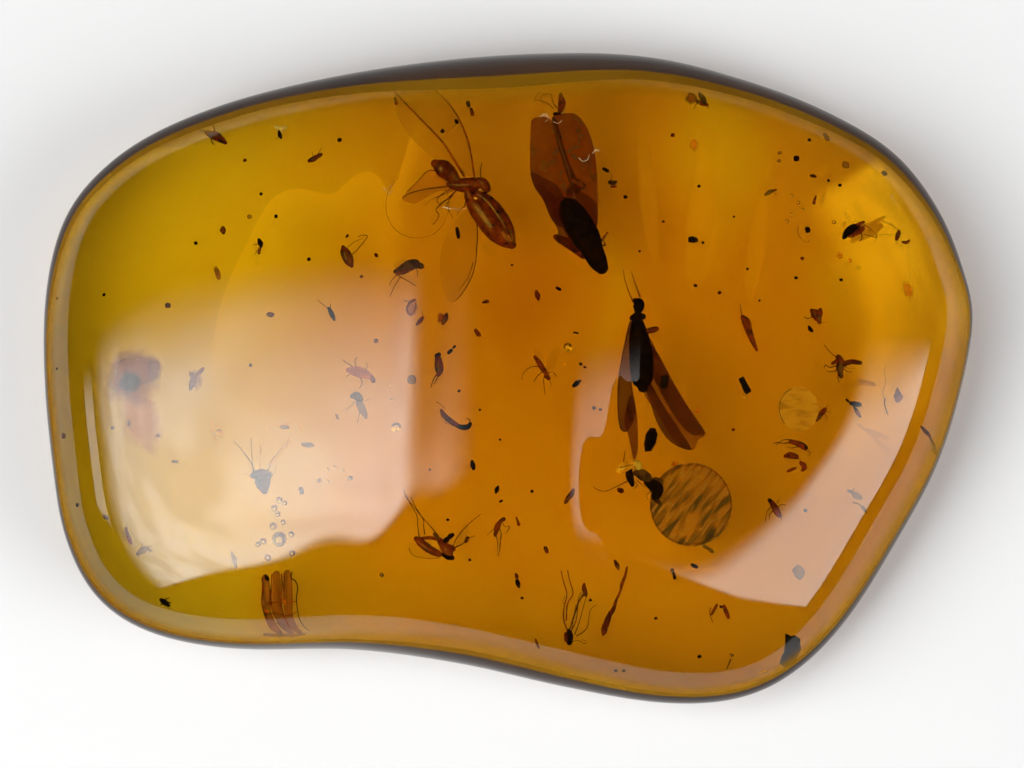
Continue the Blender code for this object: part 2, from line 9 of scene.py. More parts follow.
import bmesh
import bpy
import numpy as np
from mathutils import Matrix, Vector


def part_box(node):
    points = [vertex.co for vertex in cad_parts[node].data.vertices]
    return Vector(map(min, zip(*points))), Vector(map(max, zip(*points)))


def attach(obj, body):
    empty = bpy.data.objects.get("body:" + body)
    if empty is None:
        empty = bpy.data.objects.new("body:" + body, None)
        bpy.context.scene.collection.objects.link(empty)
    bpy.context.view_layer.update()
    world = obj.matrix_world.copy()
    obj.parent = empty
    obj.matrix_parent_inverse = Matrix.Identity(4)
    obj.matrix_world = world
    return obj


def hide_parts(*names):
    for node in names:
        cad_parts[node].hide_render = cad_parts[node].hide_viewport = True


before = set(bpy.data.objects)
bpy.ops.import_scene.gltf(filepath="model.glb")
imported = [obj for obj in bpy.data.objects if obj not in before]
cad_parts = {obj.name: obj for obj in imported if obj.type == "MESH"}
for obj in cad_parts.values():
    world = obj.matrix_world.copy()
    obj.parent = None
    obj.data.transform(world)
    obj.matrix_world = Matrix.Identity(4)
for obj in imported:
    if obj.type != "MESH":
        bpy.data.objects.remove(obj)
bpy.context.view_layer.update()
MM = 0.001


def in_mm(numbers, width):
    """Rows of so many numbers each, from a plain list in hundredths of a millimetre."""
    return np.reshape(numbers, (-1, width)) / 100


# ---------------------------------------------------------------- driving values

CROWN_HEIGHT = 13.0
CROWN_TOP = (3.0, 0.0)
CROWN_RADIUS = (120.0, 70.0)
# Rim form at eight compass points, from the right-hand end counter-clockwise.
GIRDLE_HEIGHT = (5.0, 4.8, 4.0, 4.0, 4.0, 4.2, 4.4, 4.6)
BEVEL_WIDTH = (2.2, 3.4, 3.4, 3.2, 2.2, 2.6, 3.2, 3.4)
BEVEL_STRAIGHTNESS = (0.35, 0.55, 0.65, 0.6, 0.4, 0.5, 0.5, 0.5)
SHOULDER_POWER = (9.0, 6.0, 6.0, 6.0, 13.0, 11.0, 6.0, 6.0)
# Shallow waves left by hand polishing: middle, reach along and across, height, turn in degrees.
POLISH_WAVES = (
    (-6.0, 2.0, 1.6, 14.0, 0.06, -4.0), (8.0, 6.0, 1.3, 10.0, 0.05, 5.0),
    (-18.0, -9.5, 3.0, 2.0, 0.05, 20.0), (-10.0, -11.0, 2.5, 1.8, -0.05, 0.0),
    (14.0, 2.0, 1.5, 9.0, -0.05, 10.0), (3.0, -8.0, 1.5, 9.0, 0.04, 0.0),
)
# Points of the outline in plan, counter-clockwise, and how finely the rim is drawn.
OUTLINE = in_mm((
    2790, 288, 2740, 649, 2590, 1030, 2320, 1380, 1890, 1638, 1420, 1818, 890, 1957, 340, 1993, -333, 1957,
    -1049, 1854, -1715, 1689, -2220, 1473, -2543, 1215, -2724, 927, -2810, 505, -2810, 0, -2755, -520,
    -2674, -960, -2482, -1320, -2159, -1530, -1665, -1625, -948, -1630, -303, -1715, 330, -1855, 900, -1950,
    1350, -1930, 1690, -1780, 2000, -1480, 2300, -1020, 2600, -450), 2)
OUTLINE_STEPS = 24
RIM_SIDES = 360
# Bands of mesh from the top of the dome to the middle of the base.
DOME_BANDS = 70
DOME_TURN = 1.45
LIP_BANDS = 24
SHADED_RIM_BANDS = 6
BEVEL_BANDS = 15
BASE_BANDS = 24
STONE_CREASE = 20.0

AMBER_IOR = 1.54
AMBER_COLOUR = (0.996, 0.88, 0.0, 1.0)
AMBER_DENSITY = 240.0
# Honey tones that flow through the stone, as they gather on its underside: tone of the left end and of the
# body, where the one turns into the other, and patches that paint in bright streaks and glows (painted light)
# and dark bands (painted shade): middle, half-sizes, turn in degrees, tone, strength.
LEFT_TONE = (1.0, 0.98, 0.6, 1.0)
BODY_TONE = (0.93, 0.62, 0.5, 1.0)
TONE_TURN = (-19.0, -2.0)
LIGHT_AND_SHADE_PATCHES = (
    ((12.4, 12.6), (3.6, 7.0), -8.0, (1.0, 0.86, 0.5, 1.0), 0.9),
    ((5.8, 4.4), (1.5, 7.0), 4.0, (1.0, 0.84, 0.5, 1.0), 0.75),
    ((8.4, 8.4), (1.3, 7.5), 3.0, (0.80, 0.48, 0.4, 1.0), 0.5),
    ((14.4, 4.6), (1.2, 6.5), -4.0, (0.84, 0.50, 0.4, 1.0), 0.5),
    ((20.2, 4.6), (1.6, 5.5), 12.0, (1.0, 0.82, 0.5, 1.0), 0.7),
    # Painted shade: the dark band just inside the right-hand rim.
    ((24.2, 7.0), (2.3, 9.5), 14.0, (0.40, 0.17, 0.2, 1.0), 1.0),
    ((1.0, 5.0), (3.2, 6.0), 0.0, (0.78, 0.42, 0.3, 1.0), 0.7),
    ((-1.0, -14.2), (14.0, 2.6), -5.0, (1.0, 0.72, 0.4, 1.0), 0.8),
    ((12.0, -16.6), (7.0, 2.2), -6.0, (1.0, 0.62, 0.4, 1.0), 0.8),
    ((-13.0, -13.6), (2.2, 2.2), 0.0, (0.80, 0.44, 0.3, 1.0), 0.6),
)
PATCH_CORE = 0.1
FLOW_WAVER = 0.8
# Points nearer to the girdle's height than this count as on the polished face.
SAME_HEIGHT = 0.01
# Painted shade under the rim, a darker tint: reach inwards at the eight compass points.
PAINTED_RIM_DARKENING_WIDTH = (4.6, 4.2, 3.6, 2.6, 1.3, 1.6, 1.8, 3.6)
PAINTED_RIM_DARKENING = (0.62, 0.30, 0.2, 1.0)
# Painted shade round the rim, a dark band: width above and under the girdle at the eight compass points, and
# the heights between which it turns redder.
SHADED_RIM_LIP = (0.36, 1.8, 2.9, 1.8, 0.5, 0.5, 0.8, 0.55)
SHADED_RIM_WIDTH = (0.3, 0.5, 0.6, 0.5, 0.3, 0.3, 0.4, 0.4)
SHADED_RIM_FADE = (5.0, 10.5)
# Painted shade on the shoulder, an amber-brown film: reach inwards at the eight compass points.
SHOULDER_SHADE_WIDTH = (1.7, 3.4, 4.6, 3.2, 1.2, 1.3, 1.9, 1.2)
SHOULDER_SHADE_ON_LIP = 0.7
SHOULDER_SHADE_GAP = 0.03
SHOULDER_SHADE_BANDS = 10
SHOULDER_SHADE_COVER = 0.66
# Air bubbles: place and radius, in hundredths of a millimetre. The first twelve crowd together.
BUBBLES = in_mm((
    -1377, -750, 18, -1344, -768, 13, -1407, -798, 18, -1386, -834, 14, -1413, -906, 20, -1353, -882, 14,
    -1377, -984, 42, -1473, -996, 18, -1305, -954, 16, -1503, -1014, 14, -1299, -1068, 16, -1443, -1092, 18,
    350, 176, 25, -679, -309, 28, -953, -614, 14, 1703, 1094, 11, 1741, 1052, 12, 1766, 1008, 11,
    1700, 978, 12, 1673, 936, 12, 1955, 932, 12, -1089, -564, 11, -1049, -550, 10, -999, -570, 11,
    -1089, -636, 11, -711, -54, 10, -708, -144, 10), 3)
BUBBLE_CROWD = 12
BUBBLE_DEPTH = 7.0
BUBBLE_SIDES = 20
BUBBLE_BANDS = 10
# Heights above the base of the sealed things that have no solid of their own.
LOOSE_DEPTH = 6.5
GRAIN_DEPTH = 7.0
STAIN_DEPTH = 6.9
STAIN_STEP = 0.07
STRESS_DISC_DEPTH = 6.5
PALE_DISC_DEPTH = 6.8
THING_CREASE = 50.0

# The camera looks down on the stone, tilted a little towards its lower edge.
CAMERA_ELEVATION = 84.0
CAMERA_LENS = 135.0
HALF_FILM = 18.0
PICTURE_SCALE_MM = 0.06
PICTURE_WIDTH = 1024
PICTURE_CENTRE = (0.15, -0.48, 6.0)
# The stone's face is met between these distances from the camera.
SIGHT_RANGE = (180.0, 300.0)
SIGHT_STEPS = 40

FLOOR_GAP = 0.08
FLOOR_RADIUS = 2000
FLOOR_SIDES = 64
# Height of the studio's soft panels above the base, in metres.
PANEL_HEIGHT = 0.6


# ---------------------------------------------------------------- stone surface

def smooth_path(path, steps, closed=False):
    """Points of a smooth curve through a path; each point is a row of equal length."""
    rows = np.array(path, dtype=float)
    count = len(rows)
    if count < 3:
        share = np.linspace(0, 1, steps + 1)[:, None]
        return rows[0] * (1 - share) + rows[-1] * share
    curve = []
    for i in range(count if closed else count - 1):
        if closed:
            a, b, c, d = (rows[(i + k) % count] for k in (-1, 0, 1, 2))
        else:
            a, b, c, d = rows[max(i - 1, 0)], rows[i], rows[i + 1], rows[min(i + 2, count - 1)]
        for t in np.linspace(0, 1, steps, endpoint=False):
            bend = (2 * a - 5 * b + 4 * c - d) * t * t
            curve.append(0.5 * (2 * b + (c - a) * t + bend + (3 * b - a - 3 * c + d) * t ** 3))
    if not closed:
        curve.append(rows[-1])
    return np.array(curve)


def rim_curve(count):
    """Angles and radii of the plan outline, evenly spaced by angle."""
    dense = smooth_path(OUTLINE, OUTLINE_STEPS, closed=True)
    angle = np.arctan2(dense[:, 1], dense[:, 0]) % math.tau
    order = np.argsort(angle)
    angle, radius = angle[order], np.hypot(dense[:, 0], dense[:, 1])[order]
    even = np.linspace(0, math.tau, count, endpoint=False)
    wrapped = np.concatenate([angle - math.tau, angle, angle + math.tau])
    even_radius = np.interp(even, wrapped, np.tile(radius, 3))
    for _ in range(max(1, count // 60)):
        even_radius = (np.roll(even_radius, 1) + 2 * even_radius + np.roll(even_radius, -1)) / 4
    return even, even_radius


RIM_ANGLES, RIM_RADII = rim_curve(RIM_SIDES)


def rim_radius(angle):
    return np.interp(np.asarray(angle) % math.tau, RIM_ANGLES, RIM_RADII, period=math.tau)


def by_direction(values, angle):
    """Smooth blend of a rim dimension given at the eight compass points."""
    turn = (np.asarray(angle) % math.tau) / math.tau * 8
    whole = np.floor(turn).astype(int) % 8
    share = turn - np.floor(turn)
    share = share * share * (3 - 2 * share)
    values = np.array(values)
    return values[whole] * (1 - share) + values[(whole + 1) % 8] * share


def turned_oval(x, y, middle, radii, turn):
    """How far a point lies along and across a turned oval, in shares of its half-sizes."""
    c, s = math.cos(math.radians(turn)), math.sin(math.radians(turn))
    along = ((x - middle[0]) * c + (y - middle[1]) * s) / radii[0]
    across = ((y - middle[1]) * c - (x - middle[0]) * s) / radii[1]
    return along, across


def crown_height(x, y):
    """Height of the polished dome, before it turns over at the rim."""
    fall_x = (x - CROWN_TOP[0]) ** 2 / (2 * CROWN_RADIUS[0])
    fall_y = (y - CROWN_TOP[1]) ** 2 / (2 * CROWN_RADIUS[1])
    height = CROWN_HEIGHT - fall_x - fall_y
    for middle_x, middle_y, reach_x, reach_y, lift, turn in POLISH_WAVES:
        along, across = turned_oval(x, y, (middle_x, middle_y), (reach_x, reach_y), turn)
        height = height + lift * np.exp(-along * along - across * across)
    return height


def dome_height(x, y):
    """Height of the stone's upper face, shoulder included."""
    angle = np.arctan2(y, x)
    share = np.clip(np.hypot(x, y) / rim_radius(angle), 0, 1)
    girdle = by_direction(GIRDLE_HEIGHT, angle)
    full = 1 - share ** by_direction(SHOULDER_POWER, angle)
    return girdle + (crown_height(x, y) - girdle) * np.sqrt(np.clip(full, 0, 1))


def dome_slope(x, y, h):
    """Slopes of the upper face, taken over a short way h to each side."""
    slope_x = (dome_height(x + h, y) - dome_height(x - h, y)) / (2 * h)
    slope_y = (dome_height(x, y + h) - dome_height(x, y - h)) / (2 * h)
    return slope_x, slope_y


def bevel_height(share, angle):
    """Height of the undercut between the girdle (share 1) and the flat base (share 0)."""
    straight = by_direction(BEVEL_STRAIGHTNESS, angle)
    round_part = 1 - np.sqrt(1 - share * share)
    return by_direction(GIRDLE_HEIGHT, angle) * (straight * share + (1 - straight) * round_part)


def eye_point():
    """Where the camera stands, in millimetres, and which way lies behind it."""
    distance = PICTURE_WIDTH * PICTURE_SCALE_MM / 2 / (HALF_FILM / CAMERA_LENS)
    lean = math.radians(CAMERA_ELEVATION)
    back = np.array([0.0, -math.cos(lean), math.sin(lean)])
    return np.array(PICTURE_CENTRE) + back * distance, back


def seen(x, y, z):
    """The point at height z that shows at (x, y), once the sight line bends at the dome."""
    eye, _ = eye_point()
    ray = np.array([x, y, PICTURE_CENTRE[2]]) - eye
    ray /= np.linalg.norm(ray)
    near, far = SIGHT_RANGE
    for _ in range(SIGHT_STEPS):
        middle = (near + far) / 2
        point = eye + ray * middle
        if point[2] > dome_height(point[0], point[1]):
            near = middle
        else:
            far = middle
    slope_x, slope_y = dome_slope(point[0], point[1], 0.02)
    normal = np.array([-slope_x, -slope_y, 1.0])
    normal /= np.linalg.norm(normal)
    facing = -normal.dot(ray)
    ratio = 1 / AMBER_IOR
    bent = ratio * ray + (ratio * facing - math.sqrt(1 - ratio ** 2 * (1 - facing ** 2))) * normal
    return point + bent * (z - point[2]) / bent[2]


# ---------------------------------------------------------------- meshes and pieces

def new_mesh(name, points, faces):
    """A mesh from points in millimetres."""
    mesh = bpy.data.meshes.new(name)
    mesh.from_pydata([tuple(float(v) * MM for v in p) for p in points], [], faces)
    return mesh


def add_object(name, data):
    """An object of this mesh, light or camera, in the scene."""
    obj = bpy.data.objects.new(name, data)
    bpy.context.scene.collection.objects.link(obj)
    return obj


def make_piece(piece, slot, *cad_nodes):
    """A piece of the one body: its slot, which is not used, and, where it has them, the plain solids it
    stands in for.
    """
    if cad_nodes:
        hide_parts(*cad_nodes)
    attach(piece, "root")


def quads(rings, sides, outward=False):
    """Faces between neighbouring closed rings of points."""
    faces = []
    for ring in range(rings - 1):
        here, after = ring * sides, (ring + 1) * sides
        for i in range(sides):
            j = (i + 1) % sides
            face = (here + i, here + j, after + j, after + i)
            faces.append(face[:1] + face[:0:-1] if outward else face)
    return faces


# ---------------------------------------------------------------- material helpers

def new_material(name):
    material = bpy.data.materials.new(name)
    material.use_nodes = True
    return material, material.node_tree, material.node_tree.nodes["Principled BSDF"]


def set_inputs(tree, target, **values):
    """Links or sets inputs of a node; an underscore in a name stands for a space."""
    for name, value in values.items():
        place = target.inputs[name.replace("_", " ")]
        if isinstance(value, bpy.types.NodeSocket):
            tree.links.new(value, place)
        else:
            place.default_value = value


def node(tree, kind, *sources, **settings):
    """A shader node with its first inputs linked or set, given as its first output."""
    made = tree.nodes.new(kind)
    for key, value in settings.items():
        setattr(made, key, value)
    for place, source in zip(made.inputs, sources):
        if isinstance(source, bpy.types.NodeSocket):
            tree.links.new(source, place)
        elif source is not None:
            place.default_value = source
    return made.outputs[0]


def math_node(tree, operation, *sources):
    return node(tree, "ShaderNodeMath", *sources, operation=operation)


def ease(tree, *sources):
    """A value carried smoothly from one range to another."""
    return node(tree, "ShaderNodeMapRange", *sources, interpolation_type="SMOOTHERSTEP")


def length_of(tree, vector):
    made = tree.nodes.new("ShaderNodeVectorMath")
    made.operation = "LENGTH"
    tree.links.new(vector, made.inputs[0])
    return made.outputs["Value"]


def own_place(tree):
    return tree.nodes.new("ShaderNodeTexCoord").outputs["Object"]


def attribute(tree, name, output):
    made = tree.nodes.new("ShaderNodeAttribute")
    made.attribute_name = name
    return made.outputs[output]


def split_place(tree, place):
    made = tree.nodes.new("ShaderNodeSeparateXYZ")
    tree.links.new(place, made.inputs[0])
    return made.outputs


def noise(tree, place, scale, detail=2.0, distortion=0.0):
    made = tree.nodes.new("ShaderNodeTexNoise")
    set_inputs(tree, made, Vector=place, Scale=scale, Detail=detail, Distortion=distortion)
    return made.outputs["Fac"]


def two_tones(tree, level, low, dark, high, light):
    """Colour that runs from dark at the low level to light at the high one."""
    made = tree.nodes.new("ShaderNodeValToRGB")
    for stop, position, tone in zip(made.color_ramp.elements, (low, high), (dark, light)):
        stop.position = position
        stop.color = (*tone, 1)
    tree.links.new(level, made.inputs["Fac"])
    return made.outputs["Color"]


# ---------------------------------------------------------------- the stone

def stone_rings():
    """Rings of points from the top of the dome, over the rim and under to the middle of the base."""
    angle, rim = RIM_ANGLES, RIM_RADII
    c, s = np.cos(angle), np.sin(angle)
    rings = []
    lip = by_direction(SHADED_RIM_LIP, angle) / rim
    climb = np.sin(np.linspace(0, DOME_TURN, DOME_BANDS + 1))[1:] / math.sin(DOME_TURN)
    shares = [step * (1 - lip) for step in climb]
    shares += [1 - lip * step for step in 1 - np.sin(np.linspace(0, math.pi / 2, LIP_BANDS + 1))[1:]]
    for share in shares:
        x, y = share * rim * c, share * rim * s
        rings.append(np.stack([x, y, dome_height(x, y)], 1))
    width, shade_band_depth = by_direction(BEVEL_WIDTH, angle), by_direction(SHADED_RIM_WIDTH, angle)
    # Rings of the painted rim shade's band under the girdle, then of the rest of the undercut.
    depths = [shade_band_depth * step for step in 1 - np.cos(np.linspace(0, math.pi / 2, SHADED_RIM_BANDS + 1))[1:]]
    depths += [shade_band_depth + (width - shade_band_depth) * step for step in np.linspace(0, 1, BEVEL_BANDS + 1)[1:]]
    for depth in depths:
        reach = rim - depth
        rings.append(np.stack([reach * c, reach * s, bevel_height(1 - depth / width, angle)], 1))
    for share in np.linspace(1, 0, BASE_BANDS + 1)[1:-1]:
        rings.append(np.stack([share * (rim - width) * c, share * (rim - width) * s, 0 * c], 1))
    return rings


def stone_shell():
    """The outer surface of the stone; the band round its rim that carries the painted rim shade is marked 1,
    the rest 0.
    """
    rings = stone_rings()
    n = len(RIM_ANGLES)
    points = np.concatenate(rings + [[[0, 0, float(dome_height(0.0, 0.0))], [0, 0, 0]]])
    top, bottom = len(points) - 2, len(points) - 1
    faces = quads(len(rings), n, outward=True)
    marks = []
    for ring in range(1, len(rings)):
        marks += [int(DOME_BANDS <= ring < DOME_BANDS + LIP_BANDS + SHADED_RIM_BANDS)] * n
    last = (len(rings) - 1) * n
    for i in range(n):
        j = (i + 1) % n
        faces.append((top, i, j))
        faces.append((bottom, last + j, last + i))
        marks += [0, 0]
    return points, faces, marks


def bubble_shell(x, y, radius):
    """The wall of a round air bubble, facing into the bubble."""
    sides, bands = BUBBLE_SIDES, BUBBLE_BANDS
    middle = seen(x, y, BUBBLE_DEPTH)
    points = [middle + (0, 0, radius)]
    for lean in np.linspace(0, math.pi, bands + 1)[1:-1]:
        for turn in np.linspace(0, math.tau, sides, endpoint=False):
            out = radius * math.sin(lean)
            points.append(middle + (out * math.cos(turn), out * math.sin(turn), radius * math.cos(lean)))
    points.append(middle - (0, 0, radius))
    faces = []
    for i in range(sides):
        j = (i + 1) % sides
        faces.append((0, 1 + j, 1 + i))
        for band in range(bands - 2):
            row, after = 1 + band * sides, 1 + (band + 1) * sides
            faces.append((row + i, row + j, after + j, after + i))
        last = 1 + (bands - 2) * sides
        faces.append((len(points) - 1, last + i, last + j))
    return points, faces


def stone_tints_and_painted_light(points, bubble_count):
    """Tint of each point: honey tones with painted light and shade on the underside, none on the polished
    face and bubbles.
    """
    x, y, z = np.array(points).T
    angle, reach = np.arctan2(y, x), np.hypot(x, y)
    wavering_x = x + FLOW_WAVER * np.sin(0.55 * y + 1.7 * np.sin(0.31 * x))
    wavering_y = y + FLOW_WAVER * np.sin(0.48 * x + 1.3 * np.sin(0.37 * y))

    def smoothed(share):
        share = np.clip(share, 0, 1)[:, None]
        return share * share * share * (share * (6 * share - 15) + 10)

    turned = smoothed((wavering_x - TONE_TURN[0]) / (TONE_TURN[1] - TONE_TURN[0]))
    tones = np.array(LEFT_TONE) * (1 - turned) + np.array(BODY_TONE) * turned
    # Patches of painted light and shade: bright streaks and glows, and dark bands.
    for middle, radii, turn, patch, strength in LIGHT_AND_SHADE_PATCHES:
        true_middle = seen(*middle, 0.0)[:2]
        away = np.hypot(*turned_oval(wavering_x, wavering_y, true_middle, radii, turn))
        fade = strength * (1 - smoothed((away - PATCH_CORE) / (1 - PATCH_CORE)))
        tones = tones * (1 - fade) + np.array(patch) * fade
    # Painted shade: the tint darkens towards the rim.
    near = smoothed(1 - (rim_radius(angle) - reach) / by_direction(PAINTED_RIM_DARKENING_WIDTH, angle))
    tones = tones * (1 - near) + np.array(PAINTED_RIM_DARKENING) * near
    under = z < by_direction(GIRDLE_HEIGHT, angle) - SAME_HEIGHT
    under[:bubble_count] = False
    return np.where(under[:, None], tones, 1.0)


def amber_material():
    """Clear amber: absorption along the light's way colours it, and the mesh's honey tones, with painted
    light and shade, tint it.
    """
    material, tree, shader = new_material("clear_amber")
    set_inputs(tree, shader, Base_Color=attribute(tree, "stone_tint_and_painted_light", "Color"), Roughness=0.0, IOR=AMBER_IOR,
               Transmission_Weight=1.0)
    absorb = tree.nodes.new("ShaderNodeVolumeAbsorption")
    set_inputs(tree, absorb, Color=AMBER_COLOUR, Density=AMBER_DENSITY)
    tree.links.new(absorb.outputs[0], tree.nodes["Material Output"].inputs["Volume"])
    return material


def shaded_rim_material():
    """Painted rim shade: a glossy dark band, nearly black at the girdle, redder where it thins out upwards.
    """
    material, tree, shader = new_material("painted_rim_shade")
    place = own_place(tree)
    rise = ease(tree, split_place(tree, place)[2], SHADED_RIM_FADE[0] * MM, SHADED_RIM_FADE[1] * MM)
    mottled = math_node(tree, "MULTIPLY_ADD", noise(tree, place, 220.0, 3.0), 0.9, -0.45)
    level = math_node(tree, "ADD", rise, mottled)
    tones = two_tones(tree, level, 0.0, (0.024, 0.011, 0.006), 1.0, (0.080, 0.030, 0.007))
    set_inputs(tree, shader, Base_Color=tones, Roughness=0.14, Specular_IOR_Level=0.04)
    return material


def shoulder_shade_material():
    """Painted shade on the shoulder: an amber-brown film that thickens towards the rim."""
    material, tree, shader = new_material("painted_shoulder_shade")
    grain = noise(tree, own_place(tree), 120.0)
    tones = two_tones(tree, grain, 0.3, (0.27, 0.115, 0.003), 0.7, (0.36, 0.175, 0.005))
    cover = ease(tree, attribute(tree, "towards_rim", "Fac"), 0.0, 0.9)
    alpha = math_node(tree, "MULTIPLY", cover, SHOULDER_SHADE_COVER)
    set_inputs(tree, shader, Base_Color=tones, Alpha=alpha, Roughness=0.5, Specular_IOR_Level=0.0)
    return material


def build_stone():
    """One clear body: its outer surface and the air bubbles in it."""
    points, faces, marks = [], [], []
    for shell_points, shell_faces in [bubble_shell(*bubble) for bubble in BUBBLES]:
        faces += [tuple(len(points) + i for i in face) for face in shell_faces]
        points += shell_points
        marks += [0] * len(shell_faces)
    bubble_points = len(points)
    outer_points, outer_faces, outer_marks = stone_shell()
    faces += [tuple(bubble_points + i for i in face) for face in outer_faces]
    points += list(outer_points)
    marks += outer_marks
    mesh = new_mesh("amber_stone", points, faces)
    mesh.materials.append(amber_material())
    mesh.materials.append(shaded_rim_material())
    mesh.polygons.foreach_set("material_index", marks)
    tones = stone_tints_and_painted_light(points, bubble_points)
    mesh.attributes.new("stone_tint_and_painted_light", "FLOAT_COLOR", "POINT").data.foreach_set("color", tones.ravel())
    mesh.shade_smooth()
    mesh.set_sharp_from_angle(angle=math.radians(STONE_CREASE))
    make_piece(add_object("amber_stone", mesh), "amber", "amber_upper_half", "amber_lower_half")


def build_shoulder_shade():
    """The painted-shade film on the polished shoulder, just outside the stone's face."""
    angle, rim = RIM_ANGLES, RIM_RADII
    width, lip = by_direction(SHOULDER_SHADE_WIDTH, angle), by_direction(SHADED_RIM_LIP, angle)
    points, levels = [], []
    for step in np.linspace(0, 1, SHOULDER_SHADE_BANDS):
        share = 1 - (width * (1 - step) + SHOULDER_SHADE_ON_LIP * lip * step) / rim
        x, y = share * rim * np.cos(angle), share * rim * np.sin(angle)
        slope_x, slope_y = dome_slope(x, y, 0.01)
        length = np.sqrt(1 + slope_x ** 2 + slope_y ** 2)
        out = np.stack([-slope_x / length, -slope_y / length, 1 / length], 1)
        points.append(np.stack([x, y, dome_height(x, y)], 1) + out * SHOULDER_SHADE_GAP)
        levels += [float(step)] * len(angle)
    mesh = new_mesh("painted_shoulder_shade", np.concatenate(points), quads(SHOULDER_SHADE_BANDS, len(angle), outward=True))
    mesh.materials.append(shoulder_shade_material())
    mesh.attributes.new("towards_rim", "FLOAT", "POINT").data.foreach_set("value", levels)
    mesh.shade_smooth()
    make_piece(add_object("painted_shoulder_shade", mesh), "amber")


# ---------------------------------------------------------------- sealed things: materials

def tissue(name, dark, light, alpha, roughness, coat=0.0, grain=2500.0, stretch=(1.0, 1.0, 1.0)):
    """Mottled chitin, wing or plant tissue: two tones mixed by a fine procedural grain."""
    material, tree, shader = new_material(name)
    scaled = node(tree, "ShaderNodeVectorMath", own_place(tree), stretch, operation="MULTIPLY")
    tones = two_tones(tree, noise(tree, scaled, grain, 3.0), 0.35, dark, 0.65, light)
    set_inputs(tree, shader, Base_Color=tones, Roughness=roughness, Specular_IOR_Level=0.0, Alpha=alpha,
               Coat_Weight=coat, Coat_Roughness=0.15)
    return material


def stain_and_glow_material(name, colour, strength, ragged=0.7):
    """A soft spot that fades to nothing at the edge of its disc; it draws stains and the painted golden
    glows.
    """
    material, tree, shader = new_material(name)
    place = own_place(tree)
    lump = math_node(tree, "MULTIPLY_ADD", noise(tree, place, 1.6), ragged, -ragged / 2)
    reach = length_of(tree, place)
    fade = ease(tree, math_node(tree, "ADD", reach, lump), 0.35, 0.95, strength, 0.0)
    edge = node(tree, "ShaderNodeMapRange", reach, 0.8, 1.0, 1.0, 0.0)
    alpha = math_node(tree, "MULTIPLY", fade, edge)
    set_inputs(tree, shader, Base_Color=(*colour, 1), Alpha=alpha, Roughness=1.0, Specular_IOR_Level=0.0)
    return material


def spangle_material(name, dark, light, cover, streaks):
    """A thin crack disc: dark streaks along its own x axis over a half-clear golden ground."""
    material, tree, shader = new_material(name)
    drawn_out = tree.nodes.new("ShaderNodeMapping")
    set_inputs(tree, drawn_out, Vector=own_place(tree), Scale=(0.55, streaks, 1.0))
    grain = noise(tree, drawn_out.outputs[0], 2.2, 4.0, 0.4)
    level = node(tree, "ShaderNodeMapRange", grain, 0.42, 0.62, interpolation_type="SMOOTHSTEP")
    blend = tree.nodes.new("ShaderNodeMix")
    blend.data_type = "RGBA"
    set_inputs(tree, blend, Factor=level, A=(*light, 1), B=(*dark, 1))
    density = node(tree, "ShaderNodeMapRange", level, 0.0, 1.0, *cover)
    set_inputs(tree, shader, Base_Color=blend.outputs["Result"], Alpha=density, Roughness=0.4)
    return material


